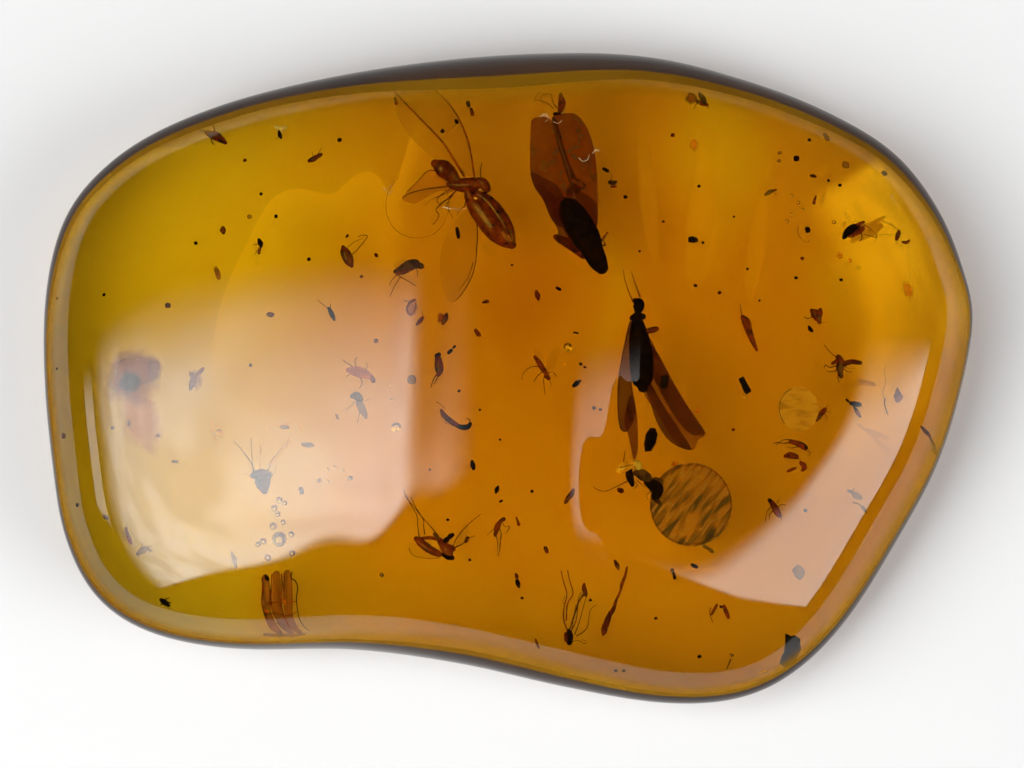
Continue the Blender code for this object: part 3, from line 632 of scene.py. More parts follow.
# Tissues: dark tone, light tone, cover, roughness, and where they matter gloss, grain and stretch of it.
TISSUES = {
    "brown": ((0.045, 0.008, 0.003), (0.20, 0.032, 0.005), 0.95, 0.3, 0.4),
    "amber_brown": ((0.11, 0.014, 0.002), (0.27, 0.044, 0.004), 0.9, 0.25, 0.5),
    "gold": ((0.65, 0.25, 0.02), (1.0, 0.62, 0.12), 0.95, 0.3, 0.5),
    "black": ((0.005, 0.003, 0.003), (0.014, 0.006, 0.004), 1.0, 0.5),
    "red": ((0.10, 0.014, 0.004), (0.28, 0.05, 0.01), 0.85, 0.35),
    "grey": ((0.03, 0.014, 0.010), (0.12, 0.06, 0.04), 0.92, 0.5),
    "leg": ((0.06, 0.016, 0.005), (0.16, 0.04, 0.01), 0.8, 0.5),
    "faint_leg": ((0.16, 0.03, 0.008), (0.34, 0.08, 0.02), 0.5, 0.6),
    "wing": ((0.22, 0.07, 0.006), (0.30, 0.11, 0.01), 0.22, 0.4, 0.0, 1200.0),
    "brown_wing": ((0.12, 0.018, 0.003), (0.19, 0.032, 0.004), 0.86, 0.4, 0.0, 900.0),
    "amber_wing": ((0.34, 0.075, 0.007), (0.50, 0.14, 0.012), 0.5, 0.4, 0.0, 900.0),
    "vein": ((0.20, 0.04, 0.005), (0.34, 0.08, 0.01), 0.75, 0.4),
    "dark_wing": ((0.06, 0.010, 0.003), (0.11, 0.020, 0.004), 0.84, 0.4, 0.0, 900.0),
    "smoky_wing": ((0.16, 0.030, 0.005), (0.28, 0.06, 0.008), 0.72, 0.4, 0.0, 900.0),
    "pale": ((0.55, 0.40, 0.22), (0.85, 0.72, 0.50), 0.7, 0.5),
    "clear_wing": ((0.30, 0.12, 0.03), (0.45, 0.22, 0.06), 0.16, 0.4),
    "pale_wing": ((0.75, 0.62, 0.42), (0.95, 0.88, 0.70), 0.55, 0.4),
    "purple_dot": ((0.10, 0.014, 0.010), (0.26, 0.04, 0.03), 0.85, 0.5),
    # Painted reflection: paler copies of red and grey, for things seen under the reflections on the dome.
    "red_under_painted_reflection": ((0.40, 0.07, 0.03), (0.60, 0.16, 0.07), 0.7, 0.5),
    "grey_under_painted_reflection": ((0.10, 0.04, 0.03), (0.26, 0.14, 0.10), 0.6, 0.5),
    "red_brown": ((0.06, 0.012, 0.004), (0.17, 0.03, 0.006), 0.93, 0.3, 0.5),
    "gold_thread": ((0.60, 0.26, 0.04), (1.0, 0.66, 0.26), 0.8, 0.4),
    "orange_drop": ((0.45, 0.08, 0.004), (0.75, 0.22, 0.01), 0.85, 0.3),
    "grain_black": ((0.004, 0.003, 0.002), (0.03, 0.012, 0.006), 0.95, 0.5),
    "grain_red": ((0.07, 0.014, 0.005), (0.20, 0.04, 0.01), 0.85, 0.5),
    "grain_grey": ((0.10, 0.06, 0.04), (0.22, 0.13, 0.09), 0.75, 0.6),
    "grain_faint": ((0.26, 0.08, 0.03), (0.34, 0.12, 0.04), 0.45, 0.6),
    "bark": ((0.004, 0.003, 0.003), (0.02, 0.014, 0.010), 1.0, 0.8),
    "fibre": ((0.16, 0.026, 0.004), (0.55, 0.13, 0.012), 0.55, 0.5, 0.0, 1500.0, (3.0, 0.25, 3.0)),
}
# Stains, and the golden glow that is painted light: tone, strength and, where it is not the usual one,
# raggedness.
STAINS_AND_GLOWS = {
    "red_stain": ((0.42, 0.070, 0.012), 0.6),
    "brown_stain": ((0.20, 0.030, 0.008), 0.85),
    "dark_stain": ((0.02, 0.010, 0.006), 0.97),
    "orange_stain": ((0.65, 0.16, 0.008), 0.65),
    "painted_golden_glow": ((1.0, 0.60, 0.04), 0.2, 0.1),
    "purple_stain": ((0.22, 0.06, 0.03), 0.7),
}
MATERIALS = {}


def tinted(name):
    """The named tissue or stain material, made once."""
    if name not in MATERIALS:
        if name in TISSUES:
            MATERIALS[name] = tissue(name, *TISSUES[name])
        else:
            MATERIALS[name] = stain_and_glow_material(name, *STAINS_AND_GLOWS[name])
    return MATERIALS[name]


# ---------------------------------------------------------------- sealed things: shapes

# Sides and steps between points: of a body, a strand, a fine line on the amber; and steps of a sheet's edge.
BODY_MESH = (12, 5)
STRAND_MESH = (5, 4)
LINE_MESH = (6, 1)
SHEET_STEPS = 4
# How far round its rounded end each ring of a tube's cap lies, and the least half-width of a tube.
CAP_STEPS = (0.5, 0.8, 0.96)
THINNEST = 0.004
# Height, as a share of the whole, and breadth of each outline of a chip, from its underside up.
CHIP_LEVELS = ((-0.5, 0.8), (-0.2, 1.0), (0.25, 0.97), (0.5, 0.7))


class Inclusion:
    """A sealed thing, drawn as it shows through the dome and set at its true place in the stone.

    Local x and y are apparent distances from its anchor; z is height above the anchor's depth. In the calls
    that draw the things, paths, z, widths and heights are hundredths of a millimetre. Depth is a body's
    thickness as a share of its width.
    """

    def __init__(self, name, anchor, slot, cad_node=None):
        self.name, self.slot, self.cad_node = name, slot, cad_node
        depth = LOOSE_DEPTH
        if cad_node:
            low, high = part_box(cad_node)
            depth = (low.z + high.z) / 2 / MM
        self.origin = seen(anchor[0], anchor[1], depth)
        self.across = (seen(anchor[0] + 0.5, anchor[1], depth) - self.origin) / 0.5
        self.along = (seen(anchor[0], anchor[1] + 0.5, depth) - self.origin) / 0.5
        self.points, self.faces, self.marks, self.materials = [], [], [], []

    def add(self, points, faces, material):
        if material not in self.materials:
            self.materials.append(material)
        start = len(self.points)
        for x, y, z in points:
            self.points.append(self.across * x + self.along * y + np.array([0.0, 0.0, z]))
        self.faces.extend(tuple(start + i for i in face) for face in faces)
        self.marks.extend([self.materials.index(material)] * len(faces))

    def tube(self, material, path, z, depth, sides, steps):
        """A round-ended tube along (x, y, half-width) rows, in millimetres."""
        rows = smooth_path(path, steps)
        rows[:, 2] = np.maximum(rows[:, 2], THINNEST)
        ahead = np.gradient(rows[:, :2], axis=0)
        ahead /= np.maximum(np.linalg.norm(ahead, axis=1), 1e-6)[:, None]
        ends = []
        for end, along in ((0, -1), (-1, 1)):
            caps = []
            for lean in CAP_STEPS:
                out = rows[end, :2] + along * ahead[end] * rows[end, 2] * math.sin(lean * math.pi / 2)
                caps.append((*out, rows[end, 2] * math.cos(lean * math.pi / 2), *ahead[end]))
            ends.append(caps)
        middle = [(x, y, r, *aim) for (x, y, r), aim in zip(rows, ahead)]
        rings = ends[0][::-1] + middle + ends[1]
        points = []
        for x, y, r, aim_x, aim_y in rings:
            for t in np.linspace(0, math.tau, sides, endpoint=False):
                side, lift = r * math.cos(t), depth * r * math.sin(t)
                points.append((x - aim_y * side, y + aim_x * side, z + lift))
        faces = quads(len(rings), sides)
        last = (len(rings) - 1) * sides
        faces.append(tuple(reversed(range(sides))))
        faces.append(tuple(last + i for i in range(sides)))
        self.add(points, faces, material)

    def strand(self, material, path, z, width):
        """A thin tube along (x, y) rows in millimetres, tapering a little to its tip."""
        count = max(len(path) - 1, 1)
        rows = [(x, y, width / 2 * (1 - 0.45 * i / count)) for i, (x, y) in enumerate(path)]
        self.tube(material, rows, z, 1.0, *STRAND_MESH)

    def body(self, material, z, *paths, depth=0.8):
        """Rounded bodies, each along x, y, half-width and so on."""
        for path in paths:
            self.tube(material, in_mm(path, 3), z / 100, depth, *BODY_MESH)

    def thread(self, material, z, width, *paths):
        """Thin legs, feelers, veins or hairs."""
        for path in paths:
            self.strand(material, in_mm(path, 2), z / 100, width / 100)

    def sheet(self, material, z, *outlines):
        """Thin membranes with smooth outlines."""
        for outline in outlines:
            curve = smooth_path(in_mm(outline, 2), SHEET_STEPS, closed=True)
            self.add([(x, y, z / 100) for x, y in curve], [tuple(range(len(curve)))], material)

    def chip(self, material, z, height, *outlines):
        """Flat chips of debris with bevelled edges."""
        for outline in outlines:
            corners = in_mm(outline, 2)
            n = len(corners)
            middle = np.mean(corners, axis=0)
            points = []
            for level, share in CHIP_LEVELS:
                lift = z / 100 + level * (height / 100)
                points += [(*(middle + (corner - middle) * share), lift) for corner in corners]
            faces = [tuple(reversed(range(n))), tuple(range(3 * n, 4 * n))] + quads(len(CHIP_LEVELS), n)
            self.add(points, faces, material)

    def finish(self):
        """The finished piece, standing in for its plain node where it has one."""
        mesh = bpy.data.meshes.new(self.name)
        mesh.from_pydata([tuple(p * MM) for p in self.points], [], self.faces)
        for name in self.materials:
            mesh.materials.append(tinted(name))
        mesh.polygons.foreach_set("material_index", self.marks)
        mesh.shade_smooth()
        mesh.set_sharp_from_angle(angle=math.radians(THING_CREASE))
        piece = add_object(self.name, mesh)
        piece.location = self.origin * MM
        make_piece(piece, self.slot, *([self.cad_node] if self.cad_node else []))


def flat_disc(name, material, anchor, depth, radii, turn, slot, *cad_nodes):
    """A thin round film, scaled to an oval."""
    turns = np.linspace(0, math.tau, 32, endpoint=False)
    mesh = bpy.data.meshes.new(name)
    mesh.from_pydata([(math.cos(t), math.sin(t), 0.0) for t in turns], [], [tuple(range(32))])
    mesh.materials.append(material)
    disc = add_object(name, mesh)
    disc.location = Vector(seen(anchor[0], anchor[1], depth)) * MM
    disc.scale = (radii[0] * MM, radii[1] * MM, MM)
    disc.rotation_euler = (0, 0, math.radians(turn))
    make_piece(disc, slot, *cad_nodes)


def scatter(name, slot, depth, material, specks):
    """Small lumpy grains of debris, joined into one piece."""
    mesh = bpy.data.meshes.new(name)
    shape = bmesh.new()
    for x, y, long_half, short_half, turn in specks:
        made = bmesh.ops.create_icosphere(shape, subdivisions=2, radius=1.0)["verts"]
        aim = math.radians(turn)
        c, s = math.cos(aim), math.sin(aim)
        middle = seen(x, y, depth)
        for vert in made:
            lump = 1 + 0.18 * math.sin(5.1 * vert.co.x + 9 * x) * math.sin(4.3 * vert.co.y + 7 * y)
            along, across = vert.co.x * long_half * lump, vert.co.y * short_half * lump
            vert.co = Vector((middle[0] + along * c - across * s, middle[1] + along * s + across * c,
                              middle[2] + vert.co.z * short_half)) * MM
    shape.to_mesh(mesh)
    shape.free()
    mesh.materials.append(tinted(material))
    mesh.shade_smooth()
    make_piece(add_object(name, mesh), slot)


# ---------------------------------------------------------------- sealed things

CREATURES = []


def sealed(slot, x, y, solid=True):
    """Notes how one sealed thing is drawn: its slot, its anchor, and whether a CAD solid has its name."""
    def note(draw):
        CREATURES.append((draw, slot, (x, y), solid))
        return draw
    return note


def build_creatures():
    for draw, slot, anchor, solid in CREATURES:
        form = Inclusion(f"{draw.__name__}_form", anchor, slot, draw.__name__ if solid else None)
        draw(form)
        form.finish()


@sealed("brown_chitin", -2.25, 10.2)
def spread_wing_beetle(it):
    """A beetle with one wing case open and its long clear hind wings drawn out."""
    it.sheet("wing", 2, (-474, 726, -433, 678, -322, 552, -212, 432, -111, 300, -48, 198, -138, 240,
        -270, 324, -378, 438, -456, 564))
    it.sheet("wing", -6, (-54, 204, 12, 200, -1, 288, -24, 402, -66, 504, -111, 588, -166, 660, -230, 732,
        -306, 762, -402, 738, -456, 696, -324, 558, -210, 432, -114, 300))
    it.thread("vein", 5, 16, (-48, 192, -111, 292, -157, 366, -212, 432, -322, 549, -433, 672, -474, 726))
    it.thread("vein", 5, 14, (13, 192, -1, 288, -24, 402, -65, 504, -111, 588, -166, 660, -230, 732))
    it.thread("faint_leg", 4, 7, (-156, 456, -120, 480, -84, 528))
    it.body("red", 4, (-468, 678, 10, -460, 642, 11))
    it.body("brown", 5, (-100, 528, 10, -93, 516, 11))
    it.sheet("amber_wing", 2, (-414, 48, -390, 99, -322, 167, -276, 221, -228, 225, -168, 198, -96, 150,
        -66, 120, -144, 102, -216, 96, -282, 60, -348, 24))
    it.thread("leg", 6, 10, (-66, 132, -150, 129, -276, 114, -366, 90, -414, 60))
    it.thread("leg", 6, 8, (-162, 192, -228, 224, -276, 219, -324, 165, -386, 99))
    it.thread("faint_leg", 5, 8, (-84, 120, -168, 84, -252, 48, -288, 6))
    it.body("brown", 5, (-225, 267, 27, -186, 243, 52, -144, 210, 49, -102, 168, 33), depth=0.55)
    it.body("amber_brown", 12, (-216, 270, 16, -186, 252, 28, -150, 222, 26), depth=0.6)
    it.body("brown", 0, (-138, 141, 22, -84, 138, 38, -48, 132, 40))
    it.body("amber_brown", 2, (-66, 144, 38, -24, 138, 44, 12, 144, 43, 42, 150, 30))
    it.body("brown", 6, (-36, 168, 16, 0, 147, 20, 18, 120, 22), (36, 165, 22, 66, 150, 31, 85, 117, 28))
    it.thread("leg", 6, 8, (54, 168, 50, 228, 57, 270))
    it.body("brown", 2, (-21, 102, 29, -16, 60, 32))
    it.body("amber_brown", 0, (-9, 78, 34, 24, 30, 64, 84, -48, 77, 150, -135, 76, 204, -195, 54,
        237, -225, 30), depth=0.6)
    it.body("brown", 10, (36, 87, 20, 90, 45, 36, 156, -36, 44, 210, -132, 42, 240, -210, 22), depth=0.55)
    # Painted highlight: gold bodies and threads along the top of the abdomen stand in for its glossy copper
    # highlights.
    it.body("gold", 28, (18, 54, 11, 42, 36, 13, 72, 6, 9, 96, -24, 4), (-3, 24, 8, 12, 0, 11,
        36, -24, 5), depth=0.4)
    it.thread("gold", 30, 6, (36, 24, 90, -33, 150, -96, 204, -159, 237, -207))
    it.thread("gold", 12, 7, (-9, -6, 36, -66, 90, -135, 150, -198))
    it.thread("brown", 16, 11, (12, 0, 72, -78, 138, -156, 198, -210))
    it.thread("leg", 3, 11, (-96, 108, -144, 60, -186, 30, -222, -12, -204, -48, -240, -102))
    it.thread("leg", 3, 7, (-108, 96, -156, 18, -138, -24, -120, -66))
    it.thread("leg", 0, 8, (-132, 114, -192, 78, -216, 42, -186, 12))
    it.thread("faint_leg", 0, 7, (-12, 36, -60, 0, -96, -48))
    it.thread("leg", 0, 9, (-36, 60, -42, 30, -48, 0))
    it.sheet("wing", -20, (12, 18, 30, -48, 33, -144, 28, -246, 18, -354, -10, -444, -66, -534, -126, -582,
        -168, -528, -189, -444, -198, -336, -186, -240, -150, -156, -84, -60))
    it.thread("leg", -18, 8, (24, -48, 32, -150, 28, -249, 18, -351, -10, -442, -66, -534, -108, -576))
    it.thread("faint_leg", -18, 7, (6, -336, -24, -426, -78, -504))
    it.body("black", 0, (-93, -126, 10, -87, -153, 12, -83, -180, 10))


@sealed("brown_chitin", 3.39, 11.04)
def broad_winged_insect(it):
    """A dark insect seen from its back, with two broad wings folded along it."""
    it.sheet("brown_wing", 0, (-211, 408, -198, 453, -162, 468, -120, 465, -84, 444, -60, 372, -24, 252,
        18, 132, 42, 12, 36, -132, -24, -192, -90, -132, -126, -48, -192, 54, -216, 156))
    it.sheet("brown_wing", 6, (-78, 456, -30, 483, 30, 492, 78, 474, 117, 426, 153, 348, 179, 240, 192, 102,
        194, -48, 190, -198, 168, -264, 108, -180, 60, -24, 24, 132, -30, 300))
    it.sheet("dark_wing", 10, (-84, 450, -54, 450, -24, 336, 18, 204, 72, 84, 96, 30, 60, 0, 12, 96,
        -36, 252))
    it.sheet("dark_wing", 14, (-198, 66, -150, 60, -90, 12, -30, -48, 36, -144, 108, -288, 72, -360,
        0, -324, -60, -288, -48, -222, -102, -126, -126, -42))
    it.sheet("dark_wing", 16, (30, 60, 96, 12, 156, -24, 192, -78, 192, -180, 174, -276, 204, -360,
        144, -348, 72, -240, 24, -96, 0, 0))
    it.sheet("dark_wing", 18, (-210, 132, -126, 96, -48, 48, 0, -48, 36, -180, -36, -204, -96, -132,
        -138, -36, -192, 48))
    it.body("black", -5, (-24, -36, 30, 12, -78, 72, 66, -168, 93, 126, -276, 87, 168, -360, 66,
        198, -420, 57, 216, -450, 45), depth=0.7)
    it.body("brown", -5, (-60, -264, 18, 0, -294, 30, 60, -336, 30, 108, -378, 24), depth=0.6)
    it.body("brown", 5, (36, 84, 12, 78, 66, 24, 108, 48, 16))
    it.thread("brown", 0, 24, (180, -324, 222, -282, 255, -237))
    it.thread("leg", 0, 13, (204, -306, 240, -318, 228, -282))


@sealed("red_chitin", 2.85, 16.56)
def brow_gnat(it):
    """A small fly at the tip of the broad-winged insect."""
    it.body("red", 0, (24, 48, 13, 32, 6, 23, 22, -36, 18))
    it.body("brown", 4, (24, 60, 10, 33, 30, 12))
    it.body("black", 0, (-12, -62, 12, 10, -64, 14, 18, -59, 10))
    it.thread("leg", 0, 7, (0, -24, -24, 12, -30, 60))
    it.thread("leg", 0, 5, (-18, -30, -60, 6, -96, 18, -135, 24))
    it.thread("faint_leg", 0, 5, (-42, 60, -84, 54, -96, 18, -66, -6), (-102, 72, -126, 48, -138, 18))


@sealed("black_chitin", 7.94, 0.9)
def long_winged_insect(it):
    """A slender insect with long dark wings that part behind its body."""
    it.thread("faint_leg", 10, 11, (-56, 366, -83, 426, -104, 492, -116, 552))
    it.thread("faint_leg", -10, 11, (-11, 390, -32, 450, -50, 504, -65, 546))
    it.body("black", 0, (-44, 366, 16, -22, 351, 34, -20, 321, 32, -25, 300, 22))
    it.body("black", 0, (-59, 261, 18, -29, 268, 29, 4, 270, 20), depth=0.5)
    it.body("black", 0, (-29, 252, 32, -20, 162, 58, -8, 54, 72, -2, -54, 73, 1, -120, 64,
        4, -153, 36), depth=0.7)
    it.sheet("dark_wing", 5, (-74, 246, -101, 144, -128, 30, -151, -90, -158, -204, -156, -318, -140, -408,
        -103, -428, -71, -396, -50, -342, -44, -252, -59, -174, -65, -66, -53, 66, -47, 186))
    it.sheet("brown_wing", -10, (-77, -204, -47, -246, -32, -330, -26, -450, -29, -546, -53, -594,
        -74, -510, -92, -432, -113, -354))
    it.thread("leg", 8, 10, (-83, 210, -125, 30, -149, -150, -149, -318, -131, -414))
    it.sheet("dark_wing", 6, (13, 162, 55, 108, 109, 24, 157, -66, 211, -162, 277, -264, 343, -354,
        395, -436, 343, -450, 289, -434, 229, -372, 163, -276, 109, -180, 61, -78, 25, 30))
    it.sheet("dark_wing", -6, (13, -66, 55, -132, 97, -210, 157, -306, 223, -402, 304, -526, 247, -524,
        187, -495, 133, -441, 85, -354, 49, -246, 19, -150))
    it.thread("leg", 10, 14, (25, 30, 67, -78, 115, -174, 169, -258, 241, -348, 301, -426))
    it.thread("leg", -2, 12, (25, -90, 79, -210, 145, -330, 205, -420))
    it.sheet("brown_wing", 0, (31, 126, 73, 84, 103, 24, 115, -12, 67, 24, 37, 66))
    it.body("brown", 2, (19, 180, 14, 55, 186, 19, 85, 195, 16))
    it.sheet("smoky_wing", -12, (49, 138, 109, 6, 205, -162, 313, -318, 389, -438, 349, -474, 313, -534,
        211, -492, 91, -312, 19, -210, -11, -114, 1, 66))


@sealed("bark", 8.47, -3.84)
def oval_chip(it):
    """A chip of bark."""
    it.chip("black", 10, 40, (-37, -72, -43, -24, -31, 36, -4, 72, 26, 69, 41, 36, 30, -24, 2, -69))


@sealed("black_chitin", 7.89, -6.18)
def ant(it):
    """An ant with air-silvered lobes on its head and a long bent feeler."""
    # Painted reflection: the gold lobes stand in for the silvery shine of the air film on the head.
    it.body("gold", 10, (-136, 51, 18, -96, 72, 30, -54, 87, 22), depth=0.5)
    it.body("gold", 22, (-126, 75, 8, -90, 87, 12, -54, 96, 7), depth=0.4)
    it.body("pale", 0, (-45, 96, 20, -21, 84, 26, -14, 60, 18), depth=0.6)
    it.thread("brown", 30, 6, (-126, 63, -84, 75, -48, 81))
    it.body("black", 0, (-75, 54, 20, -69, 12, 24, -54, -36, 13), depth=0.7)
    it.body("grey", 0, (-30, 33, 20, 3, 24, 34, 33, 6, 30, 54, -24, 24))
    it.body("black", -2, (42, -24, 28, 78, -42, 42, 93, -72, 38, 84, -108, 26))
    it.body("grey", 0, (72, -102, 18, 93, -132, 16, 114, -153, 8), depth=0.6)
    it.body("grey", 0, (84, -9, 20, 111, -18, 22))
    it.thread("leg", 5, 7, (-84, -15, -120, -33, -159, -51, -207, -72, -252, -69, -290, -46))
    it.thread("leg", 10, 6, (-105, 102, -102, 144, -95, 171))
    it.thread("leg", 0, 5, (-24, -12, 0, -33, 24, -54), (-42, -18, -24, -42, -48, -60), (90, -114,
        114, -108, 138, -120), (54, -78, 30, -102, 42, -126))
    it.body("purple_dot", 0, (-132, -66, 14, -120, -72, 16))


@sealed("brown_chitin", -4.41, -10.02)
def mosquito_fly(it):
    """A long-legged fly with narrow rounded wings held apart."""
    it.sheet("clear_wing", 0, (-160, -30, -156, -3, -114, -6, -36, -36, 30, -69, 30, -87, -36, -91,
        -102, -83, -147, -60))
    it.thread("faint_leg", 2, 5, (-160, -30, -147, -63, -102, -85, -36, -92, 24, -90))
    it.sheet("clear_wing", 5, (123, -24, 130, 30, 150, 84, 177, 119, 198, 99, 194, 48, 160, -6))
    it.body("amber_brown", 0, (-117, 26, 16, -84, -3, 25, -30, -42, 25, 21, -65, 18), depth=0.9)
    it.thread("brown", 10, 8, (-114, 35, -72, 6, -18, -33, 24, -54))
    it.thread("brown", 10, 7, (-117, 9, -72, -30, -24, -63, 12, -75))
    it.body("red", 0, (-90, 28, 9, -36, 30, 11, 6, 23, 10, 30, 6, 9))
    it.body("amber_brown", 0, (24, 15, 18, 51, -18, 30, 72, -48, 32, 81, -72, 24))
    it.body("brown", 10, (42, 0, 8, 66, -36, 11, 84, -60, 10))
    it.body("black", 0, (51, -69, 16, 78, -78, 22, 99, -88, 14))
    it.body("brown", 0, (84, -27, 19, 102, -34, 18))
    it.body("black", 10, (52, 6, 14, 68, 19, 17), (84, 36, 16, 100, 46, 13))
    it.body("amber_brown", 10, (68, 19, 11, 84, 34, 11))
    it.body("grey", 10, (-8, 52, 10, 6, 40, 13, 15, 28, 8))
    it.thread("leg", 10, 8, (-99, 36, -109, 102, -116, 168, -162, 252, -198, 333))
    it.thread("leg", 5, 8, (-66, 51, -73, 102, -75, 140, -116, 207, -154, 288))
    it.thread("leg", 15, 8, (18, 36, -27, 93, -70, 141, -126, 210, -193, 297))
    it.thread("leg", 10, 8, (108, -18, 126, 27, 188, 103, 270, 174))
    it.thread("leg", 10, 10, (108, -30, 144, -17, 183, 6))
    it.body("brown", 10, (181, 7, 11, 190, 26, 12))
    it.thread("leg", 10, 6, (192, 27, 216, 33, 234, 42))


@sealed("red_chitin", -0.57, -9.48)
def midge(it):
    """A thin midge hanging head up."""
    it.body("brown", 0, (4, 80, 10, 20, 88, 14))
    it.body("red", 0, (2, 75, 11, -13, 48, 17, -24, 12, 14, -29, -9, 10))
    it.thread("leg", 0, 7, (-6, 36, 8, -6, -2, -72, -8, -132), (-22, -12, -14, -66, -19, -129))
    it.thread("leg", 0, 5, (12, 72, 30, 42, 59, 44, 34, -6))
    it.thread("faint_leg", 0, 5, (54, 48, 48, 24, 18, 0), (-36, 30, -60, 6, -78, -12), (0, -12, 5, -66,
        0, -108))


@sealed("brown_chitin", 3.93, -13.74)
def crane_fly(it):
    """A thin fly with its long legs stretched along its body."""
    it.body("brown", 0, (54, 129, 7, 53, 102, 14, 62, 66, 13, 65, 55, 7))
    it.thread("leg", 0, 14, (45, 60, 18, 18, -3, -48, -27, -120, -39, -162))
    it.body("black", 0, (-40, -156, 13, -34, -186, 20, -38, -228, 18))
    it.body("red", 5, (-59, -174, 10, -56, -216, 13))
    it.thread("red", 0, 11, (-48, -156, -68, -90, -66, -12, -48, 66, -66, 138, -78, 207))
    it.thread("red", 0, 10, (-54, -90, -46, 6, -13, 69, -30, 144, -42, 210))
    it.thread("leg", 0, 7, (-30, -162, 0, -102, 12, -36, 18, 42, 36, 78), (-4, -176, 30, -78, 57, 24,
        72, 63), (6, -186, 68, -139, 88, -33, 126, 3))
    it.thread("faint_leg", 0, 7, (-30, -192, -15, -102, 3, 6))
    it.thread("faint_leg", 0, 5, (-18, -222, 18, -216, 54, -237, 58, -216, 33, -210), (-60, 54, -73, 18,
        -54, -6))


@sealed("grey_chitin", -5.86, 5.9)
def hump_fly(it):
    """A hump-backed fly with its hind legs trailing."""
    it.body("grey", 0, (-104, 43, 13, -65, 58, 24, -20, 77, 34, 16, 91, 29))
    it.body("brown", 10, (-95, 32, 10, -59, 38, 14, -23, 49, 12))
    it.body("grey", 2, (25, 85, 18, 55, 75, 18))
    it.body("red", 12, (-71, 67, 7, -29, 85, 10, 1, 94, 6))
    it.sheet("clear_wing", 10, (-113, 94, -59, 115, 1, 106, -47, 82, -101, 58))
    it.thread("leg", 0, 8, (-101, 34, -65, 7, -17, -20, 24, -47))
    it.thread("leg", 0, 7, (-71, 10, -107, -44, -137, -110))
    it.thread("leg", 0, 6, (-95, 22, -131, -14, -140, -38), (25, 64, 34, 34, 29, 10))


@sealed("grey_chitin", -4.14, 0.33)
def small_beetle(it):
    """A small oval beetle with two legs trailing behind."""
    it.body("brown", 0, (-17, 85, 16, -11, 39, 26, -7, -3, 23, -14, -27, 12))
    it.body("grey", 6, (-25, 75, 8, -27, 27, 10, -22, -9, 7))
    it.body("black", 0, (-23, 89, 14, -10, 97, 14))
    it.thread("leg", 0, 8, (-23, -21, -45, -60, -58, -103))
    it.thread("leg", 0, 7, (-11, -27, -29, -63, -41, -81))


@sealed("grey_chitin", -3.27, -2.49)
def larva(it):
    """A curved grub."""
    it.body("brown", 0, (-84, 42, 10, -60, 6, 16, -21, -27, 17, 18, -49, 12), depth=0.9)
    it.body("black", 0, (9, -49, 11, 42, -59, 16, 75, -57, 16, 92, -39, 11))
    it.thread("leg", 0, 7, (90, -33, 86, -11, 66, -9))
    it.thread("faint_leg", 0, 7, (-78, 43, -88, 21, -72, -15, -42, -45))
    it.thread("faint_leg", 0, 6, (-114, 93, -84, 75, -60, 51))


@sealed("grey_chitin", -14.84, -6.12)
def mite(it):
    """A long-legged mite."""
    it.body("grey", 0, (-22, 21, 26, 1, -6, 48, 11, -44, 43, 17, -75, 24), depth=0.6)
    it.body("grey", 3, (-46, 15, 22, -1, 24, 30, 41, 15, 22), depth=0.6)
    it.thread("grey", 0, 8, (-37, 24, -64, 92, -121, 170, -168, 222))
    it.thread("grey", 0, 7, (-49, 36, -59, 126, -65, 240), (35, 30, 71, 120, 161, 222))
    it.thread("faint_leg", 0, 6, (-7, 36, -11, 96, -7, 204))
    it.thread("faint_leg", 0, 5, (47, -12, 83, 48, 77, 96), (-61, 0, -97, 24, -127, 12))


@sealed("brown_chitin", -9.79, 7.44)
def oval_beetle(it):
    """A smooth oval beetle with one leg held out."""
    it.body("red_brown", 0, (-23, 36, 13, -14, 12, 28, 4, -27, 32, 19, -60, 25, 28, -76, 14), depth=0.7)
    it.body("brown", 12, (-23, 30, 8, -14, 6, 16, -2, -24, 16), depth=0.5)
    it.thread("leg", 0, 7, (28, -12, 70, 30, 125, 102, 94, 110, 67, 100))
    it.thread("leg", 0, 5, (7, 36, 40, 66, 100, 93))
    it.body("brown", 0, (-4, 96, 5, 6, 112, 5))


@sealed("red_chitin", 1.92, 0.33)
def centre_gnat(it):
    """A gnat with pale wings spread and legs bent."""
    it.body("red", 0, (-41, 84, 10, -17, 51, 16, 9, 9, 16, 33, -24, 13))
    it.body("brown", 0, (27, -31, 13, 43, -47, 12))
    it.sheet("clear_wing", 4, (25, -9, 33, 63, 69, 126, 102, 143, 111, 117, 87, 57, 49, 3), (1, 21, -29, 63,
        -59, 117, -45, 131, -9, 111, 19, 57))
    it.thread("leg", 0, 7, (-3, 18, -45, 26, -93, 5, -113, -21, -121, -57), (9, -3, -27, -36, -48, -69),
        (19, -19, 13, -69, 21, -145))
    it.thread("leg", 0, 6, (37, -11, 69, -13, 93, -39))
    it.thread("faint_leg", 0, 5, (39, -45, 57, -81, 49, -111))


@sealed("brown_chitin", 20.79, 8.82)
def right_fly(it):
    """A fly with folded wings, its legs drawn under it."""
    it.body("black", 0, (-64, -42, 13, -40, -12, 26, -8, 12, 28, 18, 26, 18))
    it.body("red", 2, (-24, -28, 18, 12, -8, 23, 46, 12, 18), depth=0.6)
    it.body("purple_dot", 5, (0, 20, 12, 30, 40, 11, 56, 52, 8))
    it.sheet("clear_wing", 6, (-62, 138, -34, 96, 2, 42, -16, 12, -52, 54))
    it.thread("faint_leg", 0, 7, (54, 37, 94, 10, 136, -38))
    it.thread("leg", 0, 7, (40, -12, 44, -46, 26, -66))
    it.thread("faint_leg", 0, 6, (58, -24, 96, -32, 132, -44))
    it.thread("leg", 0, 6, (2, -22, -18, -42))


